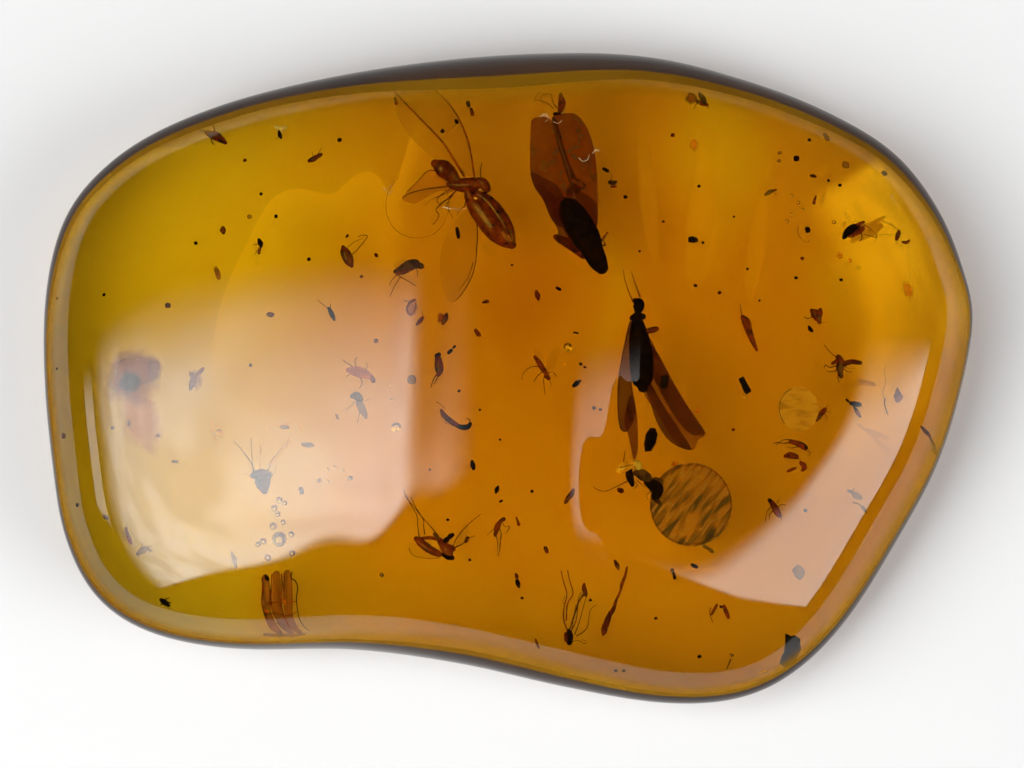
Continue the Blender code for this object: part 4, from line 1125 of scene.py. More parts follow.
@sealed("brown_chitin", 18.31, 3.54)
def heart_fly(it):
    """A small broad fly with its head turned aside."""
    it.body("brown", 0, (-13, 42, 13, 5, 24, 28, 24, -4, 22, 32, -30, 11), depth=0.7)
    it.body("red", 2, (36, 44, 14, 32, 22, 20, 17, -6, 18), depth=0.7)
    it.body("black", 0, (-31, -56, 8, -24, -72, 12, -13, -82, 8))
    it.thread("leg", 0, 6, (-12, 2, -40, -6, -60, 6), (29, -18, 54, -34, 71, -24))


@sealed("black_chitin", 20.01, 0.57)
def cross_fly(it):
    """A fly with long narrow wings held out, like a letter T."""
    it.body("brown", 0, (-26, 55, 18, -14, 27, 24, -18, -15, 22, -10, -59, 13))
    it.body("brown", 0, (6, 17, 16, 54, 29, 16, 104, 23, 13), depth=0.6)
    it.body("red", 2, (-38, 33, 12, -62, 19, 10))
    it.thread("leg", 0, 7, (-38, 5, -78, -5, -106, 11, -115, -13), (-36, -19, -70, -31, -100, -25),
        (-26, -35, -32, -69, -22, -95), (2, -13, 32, -33, 58, -29))
    it.thread("leg", 0, 6, (-34, 55, -74, 85, -112, 133))
    it.thread("faint_leg", 0, 5, (14, 1, 42, -15, 72, -9))


@sealed("black_chitin", 18.87, -2.34)
def disc_fly(it):
    """A small fly beside a round flaw."""
    it.body("red", 0, (-32, -22, 10, -19, 6, 16, 4, 32, 14))
    it.body("brown", 4, (-46, -36, 7, -26, -10, 10, -12, 18, 8))
    it.thread("faint_leg", 0, 5, (10, 24, 34, 12, 40, 36), (4, 8, 18, -20, 10, -34))
    it.thread("leg", 0, 5, (12, 42, 22, 62))


@sealed("red_chitin", 16.83, -4.32)
def tangled_fly(it):
    """A fly with its legs flung to one side, over a few torn fragments."""
    it.body("purple_dot", 0, (-4, 34, 11, 28, 30, 16, 64, 16, 19, 88, 0, 17))
    it.body("black", 4, (76, 20, 10, 90, 2, 14))
    it.thread("leg", 0, 8, (-6, 30, -48, 28, -84, 32, -108, 26))
    it.thread("leg", 0, 7, (30, 42, -12, 50, -54, 44, -92, 14))
    it.thread("leg", 0, 6, (42, 6, 6, -2, -24, 6), (90, -16, 118, -28, 108, -46))
    it.body("purple_dot", -10, (-32, -50, 12, -4, -44, 20, 34, -52, 16), (62, -90, 13, 82, -112, 17,
        70, -134, 10), (-18, -140, 7, 6, -130, 10, 30, -120, 6), depth=0.6)
    it.thread("faint_leg", -10, 6, (30, -54, 54, -70, 66, -90))


@sealed("black_chitin", 15.87, -7.86)
def low_fly(it):
    """A dark fly with its hind legs trailing."""
    it.body("black", 0, (-32, 40, 12, -18, 24, 14))
    it.body("purple_dot", 0, (-18, 24, 16, 0, -6, 20, 18, -40, 19, 28, -60, 8))
    it.body("brown", 10, (-16, 16, 8, 4, -18, 11))
    it.thread("leg", 0, 6, (-24, -2, -48, -30, -58, -92), (-8, -18, -31, -46, -34, -76), (22, 2, 44, 14,
        66, 10), (28, -24, 38, -54, 37, -76))
    it.thread("leg", 0, 5, (14, 24, 28, 50))


@sealed("grey_chitin", -18.51, -0.18)
def far_left_fly(it):
    """A blurred fly deep in the stone."""
    it.body("purple_dot", 0, (-62, 30, 13, -44, 8, 20, -54, -28, 18, -62, -58, 11), (-18, 34, 11, 0, 50, 13,
        12, 64, 8), depth=0.6)
    it.thread("faint_leg", 0, 7, (-36, 0, -12, -14, 12, -4), (-54, 30, -74, 54), (-42, -42, -18, -54))


@sealed("red_chitin", -8.91, 0.18)
def left_fly(it):
    """A crumpled reddish fly under the haze."""
    it.body("red_under_painted_reflection", 0, (-72, 18, 18, -30, 10, 30, 12, -2, 30, 48, -18, 22), depth=0.6)
    it.body("purple_dot", 0, (56, -12, 11, 72, -44, 16))
    it.thread("leg", 0, 7, (-54, 42, -90, 66, -108, 82), (-30, 36, -36, 72, -24, 96), (-6, -24, 6, -60,
        -10, -90))
    it.thread("faint_leg", 0, 7, (-66, -6, -96, -26))
    it.thread("faint_leg", 0, 6, (24, 18, 42, 44, 30, 66))


@sealed("black_chitin", -17.79, 14.58)
def top_left_fly(it):
    """A dark fly just inside the rim."""
    it.body("brown", 0, (-54, 24, 12, -28, 12, 22, 6, 0, 26, 38, -20, 20, 62, -38, 11))
    it.body("black", 4, (-2, 4, 18, 32, -20, 16, 58, -36, 8))
    it.thread("brown", 0, 12, (0, 18, -6, 54, -16, 72))
    it.thread("leg", 0, 8, (-24, -6, -20, -36, -6, -48))
    it.thread("leg", 0, 7, (-48, 24, -78, 36, -102, 34))
    it.sheet("clear_wing", 5, (-84, 36, -42, 42, -6, 18, -42, 0, -78, 12))


@sealed("plant_fibre", 6.36, -13.5)
def twig(it):
    """A thin bent twig."""
    it.body("red", 0, (67, 204, 6, 56, 156, 8, 35, 100, 10, 25, 60, 7, 1, 6, 8, -16, -46, 13, -35, -76, 14,
        -49, -108, 13), depth=1)
    it.body("brown", 0, (-33, -66, 12, -49, -108, 18, -62, -150, 18), depth=1)
    it.body("red", 0, (-65, -144, 18, -71, -178, 18, -76, -196, 10), depth=1)


@sealed("plant_fibre", -13.53, -13.68)
def fibre_bundle(it):
    """Parallel tubes of plant tissue with dark walls."""
    it.body("fibre", 0, (-114, 186, 20, -104, 114, 26, -102, 24, 28, -90, -60, 24, -60, -138, 26,
        -24, -192, 18), depth=0.5)
    it.body("fibre", 5, (-48, 204, 22, -40, 120, 28, -42, 24, 29, -24, -66, 25, 12, -144, 25, 48, -198, 17),
        (18, 204, 22, 28, 120, 28, 32, 24, 29, 36, -60, 24, 60, -138, 23, 96, -192, 17), depth=0.5)
    it.thread("black", 15, 9, (48, 204, 46, 162, 72, 140, 89, 90, 82, 30, 90, -48, 101, -96, 132, -154,
        162, -186))
    it.thread("brown", 15, 10, (-132, 174, -120, 96, -124, 24, -112, -48, -84, -120))
    it.thread("brown", 15, 8, (-74, 198, -73, 114, -72, 18, -60, -54, -18, -144))
    it.thread("red", 15, 12, (-14, 192, -6, 108, -10, 24, 4, -60, 36, -150))
    it.thread("brown", 15, 7, (4, 198, 6, 108, 4, 24, 18, -54))
    it.thread("brown", 15, 8, (-128, 24, -96, 2, -42, 6, 24, 0, 78, 12))
    it.thread("brown", 15, 6, (-108, -72, -48, -58, 24, -72, 90, -48))
    it.thread("faint_leg", 10, 7, (-84, -144, -30, -120, 36, -144, 96, -132))
    it.body("orange_drop", 16, (-108, -42, 6, -98, -50, 10, -86, -54, 6), (0, 24, 6, 10, 12, 9,
        14, -6, 6), depth=0.6)
    it.body("black", 10, (-112, 192, 7, -102, 174, 13, -94, 162, 10))
    it.body("fibre", 0, (-108, -216, 16, -24, -222, 20, 60, -222, 18, 126, -210, 12), depth=0.4)


@sealed("red_chitin", 14.37, 2.61)
def red_spindle(it):
    """A tapering reddish splinter."""
    it.body("red", 0, (-34, 93, 16, -14, 63, 26, 2, 9, 22, 22, -45, 16, 48, -105, 8), depth=0.7)
    it.thread("leg", 0, 6, (-34, 87, -46, 141, -49, 177))
    it.body("brown", 10, (-6, 45, 7, 6, -3, 10))


@sealed("bark", 16.75, -16.44)
def corner_chip(it):
    """A chip of bark."""
    it.chip("bark", 0, 60, (-28, 98, 8, 84, 26, 92, 56, 74, 53, 42, 62, 12, 41, -30, 32, -78, 8, -108,
        -34, -104, -64, -80, -52, -42, -37, -12, -31, 36))


@sealed("bark", 14.11, -0.54)
def long_chip(it):
    """A chip of bark."""
    it.chip("bark", 0, 45, (-36, 38, -7, 54, 20, 4, 41, -36, 12, -56, -4, -42))
    it.body("gold_thread", 10, (-10, -68, 7, 0, -77, 7), depth=0.6)


@sealed("bark", 11.04, 8.28)
def square_chip(it):
    """A chip of bark."""
    it.chip("bark", 0, 30, (-29, 12, -3, 22, 29, 8, 33, -14, 3, -22, -27, -16))
    it.chip("bark", 0, 20, (51, -12, 67, -10, 73, -24, 57, -30))


@sealed("bark", 9.29, -0.5, solid=False)
def black_rectangle(it):
    """A chip of bark."""
    it.chip("bark", 220, 40, (-20, 36, 12, 43, 28, 32, 16, -40, -17, -46, -29, -34))


@sealed("bark", -5.86, -0.22)
def jagged_chip(it):
    """A chip of bark."""
    it.chip("grey_under_painted_reflection", 0, 30, (-26, 10, -12, 30, 16, 29, 28, 4, 22, -23, -7, -29, -26, -14))


@sealed("bark", 17.27, -11.72)
def grey_chip(it):
    """A chip of bark."""
    it.chip("grey_under_painted_reflection", 0, 35, (-41, 8, -6, 42, 18, 29, 37, 0, 28, -34, 6, -54, -23, -31))


@sealed("grey_chitin", -8.97, -1.74, solid=False)
def lower_left_fly(it):
    """A banded fly under the haze."""
    it.body("grey", 0, (-46, 52, 14, -22, 54, 26, 2, 36, 20))
    it.body("grey_under_painted_reflection", 0, (-8, 18, 18, 10, -18, 23, 28, -54, 18, 36, -78, 8))
    it.thread("leg", 10, 5, (-24, 6, 0, 14, 18, 22), (-16, -22, 6, -12, 30, -2), (-2, -48, 18, -38,
        42, -28))
    it.thread("leg", 0, 6, (-30, 22, -62, -12, -90, -32), (0, -48, -10, -84, -18, -118))
    it.thread("faint_leg", 0, 5, (30, 24, 56, 36, 68, 24))


@sealed("brown_chitin", 11.67, 16.74, solid=False)
def top_fly(it):
    """A blurred fly close to the upper rim."""
    it.body("black", 0, (-16, 42, 11, 0, 16, 18, 14, -12, 14))
    it.body("brown", 0, (-36, 0, 10, -6, -16, 13, 30, -24, 8), depth=0.6)
    it.thread("leg", 0, 7, (-18, 0, -42, -26, -54, -48), (12, -12, 34, -42))


@sealed("red_chitin", 12.55, -14.16, solid=False)
def bottom_fly(it):
    """Two reddish shreds of an insect."""
    it.body("red", 0, (-19, 44, 8, -34, 16, 10, -49, -12, 8))
    it.thread("red", 0, 8, (-55, 24, -60, -12, -43, -60))
    it.body("red", 0, (24, 36, 10, 36, 4, 13, 50, -32, 10))
    it.body("black", 0, (2, 34, 7, 10, 30, 8))


@sealed("grey_chitin", 20.91, -7.44, solid=False)
def edge_fly(it):
    """A fly under the right-hand reflection."""
    it.body("grey_under_painted_reflection", 0, (-40, 42, 12, -16, 24, 19, 6, 12, 13), (-68, 54, 7, -54, 48, 10))
    it.thread("grey", 0, 8, (-36, -18, 0, -28, 30, -66, 48, -82))
    it.body("grey_under_painted_reflection", 0, (18, -42, 8, 34, -64, 11))
    it.thread("leg", 0, 6, (-30, 66, -42, 54, -60, 60))


@sealed("red_chitin", -15.05, 7.98, solid=False)
def spotted_gnat(it):
    """A small fly hanging head up."""
    it.body("black", 0, (-4, 26, 11, 5, 4, 17, 8, -12, 10))
    it.body("brown", 0, (2, -24, 8, -4, -54, 8))
    it.sheet("clear_wing", 0, (-22, 18, -40, -6, -28, -42, -4, -24))
    it.thread("faint_leg", 0, 6, (-16, 0, -42, -4), (-10, -36, -34, -66))


@sealed("grey_chitin", -13.89, 14.7, solid=False)
def pale_fly(it):
    """A small fly with pale wings."""
    it.body("black", 0, (-4, 18, 7, 2, -6, 13, 8, -22, 8))
    it.sheet("pale_wing", 0, (-2, 18, -36, 48, -18, 56, 12, 44, 46, 50, 30, 26))
    it.thread("faint_leg", 0, 5, (-6, -12, -26, -36))


@sealed("red_chitin", -11.71, 13.26, solid=False)
def red_splinter_fly(it):
    """A dark red spindle-bodied fly."""
    it.body("brown", 0, (-36, -18, 13, -12, -8, 17, 13, 8, 13, 34, 20, 10))
    it.thread("faint_leg", 0, 5, (10, 12, 28, 46, 42, 66), (-14, 6, -20, 36))


@sealed("grey_chitin", -10.71, 3.82, solid=False)
def bent_fly(it):
    """A fly with one long feeler."""
    it.body("black", 0, (-16, 29, 8, -4, 6, 14, 10, -24, 13, 18, -43, 7))
    it.thread("faint_leg", 0, 6, (-10, 20, -48, 48, -84, 80), (-6, 26, -4, 56))


@sealed("red_chitin", -5.93, 4.14, solid=False)
def ring_fly(it):
    """A curled fly seen as a brown ring."""
    it.thread("red", 0, 18, (24, 48, -4, 34, -22, 0, -13, -36, 8, -40, 29, -6, 30, 30))
    it.thread("faint_leg", 0, 6, (-40, 42, -16, 36))


@sealed("red_chitin", -5.33, 3.32, solid=False)
def small_drop_fly(it):
    """A brown shred."""
    it.body("red", 0, (-22, -20, 8, -4, 0, 14, 12, 22, 10), depth=0.6)
    it.thread("faint_leg", 0, 6, (14, 22, 6, 58))


@sealed("grey_chitin", -17.55, -3.3, solid=False)
def golden_tangle(it):
    """A tangle of golden threads."""
    it.thread("gold_thread", 0, 7, (-36, 60, -18, 12, 14, -22, 36, -42), (24, 24, -14, 18, -26, -18, 0, -60,
        12, -102))
    it.thread("gold_thread", 0, 6, (-18, -36, 18, -12, 32, 14))
    it.body("gold_thread", 0, (6, 0, 10, 24, -14, 14))


@sealed("grey_chitin", -13.47, -3.1, solid=False)
def golden_fly(it):
    """A pale tangle of legs round a grey body."""
    it.body("grey_under_painted_reflection", 0, (-24, 4, 8, -2, 1, 13, 22, -2, 8))
    it.thread("gold_thread", 0, 5, (-60, 22, -24, 10, 18, 22, 54, 40), (30, -62, -6, -110, -60, -182,
        -84, -218), (42, -74, -24, -164, -66, -206), (-144, -86, -140, -134, -148, -182), (78, 22, 102, -8,
        90, -32), (-114, 4, -90, -32), (12, 46, 24, 4, 48, -32))


@sealed("grey_chitin", -22.29, -10.14, solid=False)
def left_corner_flies(it):
    """Two faint flies near the lower left corner."""
    it.body("purple_dot", 0, (-66, 102, 6, -54, 66, 11, -40, 30, 13, -30, 6, 7))
    it.thread("faint_leg", 0, 6, (-54, 96, -60, 132))
    it.body("grey_under_painted_reflection", 0, (8, -54, 11, 34, -34, 20, 60, -24, 16, 84, -34, 7))
    it.thread("faint_leg", 0, 6, (30, -18, 38, 8), (66, -12, 94, -6), (18, -54, 12, -78))


@sealed("black_chitin", -20.54, -13.56, solid=False)
def lower_left_gnat(it):
    """A small dark fly below the reflection."""
    it.body("black", 0, (-25, 14, 11, -5, 0, 18, 19, -18, 12))
    it.thread("leg", 0, 7, (5, 18, 23, 26), (17, 0, 38, -4), (-19, -6, -29, -22))


@sealed("grey_chitin", -16.47, -10.98, solid=False)
def grey_midge(it):
    """A thin grey midge."""
    it.body("grey_under_painted_reflection", 0, (-12, 36, 6, 0, 6, 13, 10, -30, 11, 14, -48, 6))
    it.thread("faint_leg", 0, 6, (-6, 24, -24, 54), (12, -6, 26, 18))


@sealed("grey_chitin", 6.24, 12.2, solid=False)
def faint_twin(it):
    """A small grey insect by the dark wing."""
    it.body("grey", 0, (-19, -44, 13, 3, -48, 16, 17, -42, 10))
    it.body("black", 0, (-55, 37, 10, -33, 25, 11))
    it.thread("faint_leg", 0, 5, (-9, -32, -7, -5, -21, 16))
    it.body("red", 0, (-9, -72, 6, 15, -72, 8), depth=0.6)


@sealed("grey_chitin", 15.79, 11.16, solid=False)
def upper_right_gnat(it):
    """A small fly with a folded wing."""
    it.body("grey_under_painted_reflection", 0, (-34, -16, 10, -13, -2, 14, 8, 8, 10))
    it.body("purple_dot", 0, (2, 6, 6, 29, 14, 7), depth=0.6)
    it.thread("faint_leg", 0, 6, (14, 0, 35, -22))


@sealed("red_chitin", 18.41, 10.68, solid=False)
def purple_dart(it):
    """A small dart-shaped shred."""
    it.body("purple_dot", 0, (-5, -20, 10, 1, 6, 8, 8, 26, 4))


@sealed("black_chitin", 20.73, -1.74, solid=False)
def black_twin(it):
    """An oval grain and a dart."""
    it.body("black", 0, (-26, 12, 11, -4, 5, 17, 26, 2, 14), depth=0.7)
    it.body("black", 0, (-52, 32, 7, -40, 22, 7))
    it.body("red", 0, (-2, -22, 8, 14, -46, 13, 29, -70, 7))
    it.body("black", 4, (-6, -16, 7, 6, -30, 10))


@sealed("red_chitin", 23.27, -1.08, solid=False)
def drop(it):
    """A red-brown drop."""
    it.body("red", 0, (0, 34, 6, 1, 6, 18, 4, -18, 30, 2, -32, 20), depth=0.7)


@sealed("black_chitin", 22.53, -1.86, solid=False)
def curved_thread(it):
    """A short curved thread."""
    it.thread("black", 0, 11, (-2, 46, -4, 18, 5, -16, 16, -46))
    it.thread("faint_leg", 0, 5, (-4, 48, -14, 90, 4, 150, -2, 210, 6, 258))


@sealed("black_chitin", 25.37, -3.96, solid=False)
def broken_thread(it):
    """A broken dark thread near the rim."""
    it.body("brown", 0, (-41, 80, 5, -24, 50, 10, -11, 24, 5))
    it.body("black", 0, (-11, 18, 5, 6, -22, 8, 12, -52, 12, 28, -80, 8))


@sealed("red_chitin", 23.39, 8.52, solid=False)
def rim_insect(it):
    """A dark grain with a pale curl."""
    it.body("brown", 0, (10, 30, 7, 2, 6, 14, -8, -22, 11))
    it.body("red", 0, (28, -40, 7, 54, -42, 10, 70, -30, 6), depth=0.6)
    it.thread("gold_thread", 10, 7, (-8, -44, 22, -60, 58, -64, 73, -46))


@sealed("red_chitin", 17.79, 8.58, solid=False)
def red_arc(it):
    """A faint red arc."""
    it.thread("faint_leg", 0, 8, (-38, 52, -42, 8, -16, -30, 18, -48, 36, -26))


@sealed("red_chitin", 0.49, -12.3, solid=False)
def double_bean(it):
    """Two joined dark grains."""
    it.body("brown", 0, (-10, 40, 8, -4, 23, 11))
    it.body("black", 0, (-4, 2, 11, 2, -18, 14, 8, -36, 7))


@sealed("red_chitin", 0.51, -8.74, solid=False)
def teardrop(it):
    """A teardrop grain."""
    it.body("red", 0, (-10, 25, 5, -2, 4, 7, 4, -17, 11))


@sealed("black_chitin", 3.57, -7.25, solid=False)
def bean(it):
    """A bean-shaped grain."""
    it.body("brown", 0, (24, 38, 11, 12, 13, 16, -7, -11, 14, -20, -34, 11))


@sealed("black_chitin", -1.47, -6.12, solid=False)
def grains(it):
    """Oval black grains."""
    it.body("black", 0, (-77, 98, 10, -72, 76, 16, -67, 54, 10), (79, -53, 8, 72, -71, 14,
        67, -88, 8), depth=0.7)
    it.body("black", 0, (92, -142, 7, 104, -137, 7))
    it.body("brown", 0, (-242, 998, 10, -251, 972, 19, -264, 942, 12))
    it.body("red", 0, (-62, 896, 12, -44, 868, 14), (300, 1130, 10, 308, 1104, 17, 313, 1082, 8),
        (-20, 1068, 8, 6, 1074, 12), depth=0.6)
    it.body("black", 0, (422, 1152, 8, 440, 1142, 10), (-226, 762, 11, -210, 776, 11), (-198, 792, 7,
        -188, 800, 8))
    it.body("black", 0, (528, 554, 13, 546, 570, 16), depth=0.6)
    it.body("black", 0, (558, 578, 7, 564, 583, 7), (-126, 2286, 14, -120, 2266, 11))
    it.body("brown", 0, (-106, 2244, 10, -97, 2214, 13))


@sealed("black_chitin", 11.43, -13.44, solid=False)
def lower_grains(it):
    """Grains of debris low on the right."""
    it.body("grey_under_painted_reflection", 0, (16, 332, 10, 36, 318, 12), (48, 312, 10, 72, 294, 12), depth=0.7)
    it.body("black", 0, (-50, 210, 11, -26, 198, 11), depth=0.7)
    it.body("black", 0, (-162, 162, 8, -156, 132, 10))
    it.body("brown", 0, (-516, 234, 7, -500, 206, 14, -494, 186, 7))
    it.body("gold", 0, (376, -480, 10, 402, -475, 12, 428, -472, 7), depth=0.6)
    it.thread("leg", 0, 9, (182, -370, 172, -402, 161, -434))
    it.body("grey", 0, (179, -335, 5, 192, -343, 9))
    it.body("amber_brown", 0, (-990, -216, 5, -982, -246, 8, -972, -274, 5))


# ---------------------------------------------------------------- stains, flaws and dust

# Loose grains: place, half-length and half-width in hundredths of a millimetre, and turn in degrees.
GRAINS = {
    "grain_black": (
        1811, 1435, 11, 11, 0, 1732, 1321, 18, 18, 0, 2263, 1231, 20, 18, 0, 1993, 1158, 12, 10, 0,
        1924, 1186, 9, 9, 0, 1995, 583, 12, 9, 0, 1724, 595, 11, 9, 0, 1796, 886, 19, 16, -75,
        1143, 1152, 11, 10, 0, 699, 1086, 13, 11, 0, -1236, 1685, 24, 18, -20, -1027, 1435, 14, 13, 0,
        -1499, 1105, 10, 10, 0, -1408, 968, 11, 11, 0, -1890, 805, 12, 11, 0, -1208, 707, 11, 11, 0,
        -977, 850, 8, 8, 0, -405, 1488, 14, 14, 0, -321, 1548, 11, 11, 0, -2439, 492, 10, 10, 0,
        -2721, 470, 10, 8, 0, -1555, 66, 10, 10, 0, -2584, -775, 13, 13, 0, -2717, 44, 10, 9, 0,
        507, -192, 12, 12, 0, 427, 72, 11, 10, 0, 399, 261, 18, 6, -10, 135, -694, 11, 10, 0,
        1769, -808, 12, 11, 0, 1131, -1680, 12, 10, 0, 1119, 547, 12, 9, 0, 633, -1764, 11, 10, 0,
        -303, -90, 10, 9, 0, 15, 672, 8, 7, 0, 783, 324, 8, 7, 0, -477, -564, 9, 8, 0,
        873, -1452, 10, 8, 0, 1431, 648, 8, 8, 0, 1503, 456, 7, 7, 0, 783, 756, 8, 7, 0,
        1353, 966, 8, 7, 0, -177, -204, 8, 7, 0, -57, -384, 8, 7, 0, -369, -864, 10, 8, 0,
        483, -1344, 10, 8, 0),
    "grain_red": (
        1913, 1454, 30, 16, -70, 1833, 1214, 22, 11, -10, 1762, 713, 12, 11, 0, 987, 1464, 14, 12, 0,
        -1598, 1310, 12, 12, 0, -1726, 884, 25, 18, -80, -803, 732, 15, 10, -60, -891, 602, 12, 9, 0,
        -2054, 427, 18, 16, 0, -1438, 372, 24, 14, -10, -803, 213, 15, 14, 0, -2672, -362, 20, 18, 0,
        545, -202, 10, 8, 0, 453, 54, 10, 8, 0, 219, -1044, 22, 12, -70, 1263, 504, 12, 11, 0,
        75, -1332, 10, 8, 0, 1341, -324, 10, 8, 0, 927, 936, 10, 8, 0, -237, -1104, 10, 8, 0),
    "grain_faint": (
        1631, 1357, 14, 12, 0, 1627, 1307, 14, 12, 0, 2030, 1282, 24, 24, 0, -1566, 966, 16, 14, 0,
        -1758, 623, 42, 16, -70),
    "grain_grey": (
        -1210, -414, 42, 16, -5, -2002, -515, 22, 9, 0, -1137, -628, 14, 12, 0, -953, -614, 16, 13, 0,
        -1245, -690, 24, 15, -80, -1033, -245, 18, 9, -70, -2415, -848, 24, 15, -20,
        -2282, -285, 21, 11, -80, -2380, -314, 12, 11, 0, -2105, -358, 15, 12, 0, 971, -1166, 12, 11, 0,
        681, -1764, 12, 10, 0, -763, -1195, 13, 12, 0),
}


def scatter_debris():
    for material, numbers in GRAINS.items():
        grains = np.reshape(numbers, (-1, 5)) / (100, 100, 100, 100, 1)
        scatter(material + "s", "bark", GRAIN_DEPTH, material, grains)


# Soft stains, and golden glows that are painted light: material, place, half-sizes, turn in degrees.
STAINS_AND_GLOWS_LAID = (
    ("dark_stain", (-22.79, -0.36), (0.95, 0.85), 0.0),
    ("brown_stain", (-22.6, 0.0), (2.2, 2.1), 20.0),
    ("brown_stain", (-21.4, 0.44), (0.75, 0.95), 0.0),
    ("red_stain", (-22.1, -2.5), (1.5, 2.7), 22.0),
    ("red_stain", (-17.58, 6.23), (0.2, 0.45), 10.0),
    ("purple_stain", (-18.8, -0.2), (0.5, 0.75), 10.0),
    ("orange_stain", (19.9, 7.3), (0.28, 0.26), 0.0),
    ("orange_stain", (20.5, 7.0), (0.2, 0.18), 0.0),
    ("orange_stain", (11.13, 14.1), (0.36, 0.5), 10.0),
    ("orange_stain", (23.97, 5.22), (0.4, 0.7), 20.0),
    ("orange_stain", (11.3, -2.1), (0.25, 0.25), 0.0),
    ("orange_stain", (9.9, -5.3), (0.3, 0.25), 0.0),
    # Painted light: golden glows for the bright streaks the stone's curved faces throw.
    ("painted_golden_glow", (9.4, -1.5), (1.6, 4.2), -8.0),
    ("painted_golden_glow", (11.6, 9.6), (1.3, 6.4), -6.0),
    ("painted_golden_glow", (15.0, 8.4), (0.8, 5.5), -10.0),
    ("painted_golden_glow", (8.4, 10.6), (0.7, 5.0), 6.0),
    ("brown_stain", (11.0, 16.9), (0.5, 0.5), 0.0),
    ("red_stain", (-5.9, 4.1), (0.45, 0.6), 0.0),
    ("brown_stain", (-4.1, 3.5), (0.35, 0.45), 20.0),
)

def lay_stains_and_glows():
    """Tinted discs, stains and painted golden glows, one under the other; the first is the heart of the dark
    clot.
    """
    for number, (material, place, radii, turn) in enumerate(STAINS_AND_GLOWS_LAID):
        slot, clot = ("red_chitin", ["dark_clot"]) if number == 0 else ("amber", [])
        depth = STAIN_DEPTH - STAIN_STEP * number
        flat_disc(f"stain_{number}", tinted(material), place, depth, radii, turn, slot, *clot)


# Tension cracks: middle, half-sizes and turn in degrees.
STRESS_DISC = ((10.86, -7.73), (2.4, 2.36), 52.0)
PALE_DISC = ((17.32, -1.97), (1.15, 1.28), 0.0)
PALE_GLINT = ((17.32, -1.97), (1.2, 1.33), 0.0)
OLD_FRACTURE = ((-5.55, 10.38), (2.0, 2.04), 0.0)
RIM_LINE_POINTS = 28


def lay_flaws():
    """Round tension cracks with streaked faces and fine edges."""
    scaly = spangle_material("spangle_face", (0.03, 0.008, 0.002), (0.36, 0.115, 0.010), (0.6, 0.98), 3.2)
    pale = spangle_material("pale_disc_face", (0.30, 0.13, 0.03), (0.80, 0.55, 0.25), (0.25, 0.5), 1.5)
    middle, radii, turn = STRESS_DISC
    flat_disc("stress_disc", scaly, middle, STRESS_DISC_DEPTH, radii, turn, "amber")
    middle, radii, turn = PALE_DISC
    flat_disc("pale_disc", pale, middle, PALE_DISC_DEPTH, radii, turn, "amber")
    rim_line("stress_disc_edge", STRESS_DISC, 0.05, (0.0, 1.0), "brown")
    rim_line("pale_disc_edge", PALE_DISC, 0.07, (0.3, 0.62), "brown")
    rim_line("pale_disc_glint", PALE_GLINT, 0.05, (0.8, 1.15), "gold_thread")
    bubble_rim_shade_rings()
    rim_line("old_fracture", OLD_FRACTURE, 0.04, (0.35, 1.1), "faint_leg")


def rim_line(name, oval, width, share, material):
    """A fine line along part of an oval's edge."""
    middle, radii, turn = oval
    aim = math.radians(turn)
    path = []
    for t in np.linspace(math.tau * share[0], math.tau * share[1], RIM_LINE_POINTS):
        x, y = radii[0] * math.cos(t), radii[1] * math.sin(t)
        path.append((x * math.cos(aim) - y * math.sin(aim), x * math.sin(aim) + y * math.cos(aim), width / 2))
    line = Inclusion(name, middle, "amber")
    line.tube(material, path, 0.0, 0.5, *LINE_MESH)
    line.finish()


def bubble_rim_shade_rings():
    """Painted shade: brown rings round the crowded bubbles, for the dark outlines their edges show."""
    first = BUBBLES[0]
    walls = Inclusion("painted_bubble_rim_shade", first[:2], "amber")
    for x, y, radius in BUBBLES[:BUBBLE_CROWD]:
        ring = []
        for t in np.linspace(0, math.tau, BUBBLE_SIDES):
            ring.append((x - first[0] + radius * math.cos(t), y - first[1] + radius * math.sin(t), 0.03))
        walls.tube("vein", ring, 0.5, 0.6, 5, 1)
    walls.finish()


# Curled fibres and scratches lying on the polished face: each a path seen from above.
DUST = (
    ((-7.4, 10.5), (-7.1, 10.2), (-6.9, 10.35), (-7.0, 10.7)),
    ((1.8, 14.9), (2.1, 15.1), (2.3, 14.8), (2.1, 14.6)),
    ((2.6, 14.6), (2.9, 14.5), (3.1, 14.7)),
    ((4.1, 12.3), (4.3, 12.1), (4.6, 12.2), (4.7, 12.5)),
    ((4.9, 12.6), (5.1, 12.8), (5.3, 12.7)),
    ((-3.9, 9.3), (-3.3, 9.2), (-2.6, 9.2)),
    ((22.75, 10.5), (22.9, 10.1), (23.1, 9.8)),
)


def lay_dust():
    """Fibres whose own x and y are true ones, as nothing bends the sight line above the face."""
    material, tree, shader = new_material("dust_fibre")
    set_inputs(tree, shader, Base_Color=(0.75, 0.66, 0.42, 1), Roughness=0.8)
    MATERIALS["dust_fibre"] = material
    for number, path in enumerate(DUST):
        fibre = Inclusion(f"dust_fibre_{number}", path[0], "amber")
        x, y = path[0]
        fibre.origin = np.array([x, y, float(dome_height(x, y))])
        fibre.across, fibre.along = np.array([1.0, 0, 0]), np.array([0, 1.0, 0])
        fibre.strand("dust_fibre", [(px - x, py - y) for px, py in path], 0.02, 0.03)
        fibre.finish()


# ---------------------------------------------------------------- studio

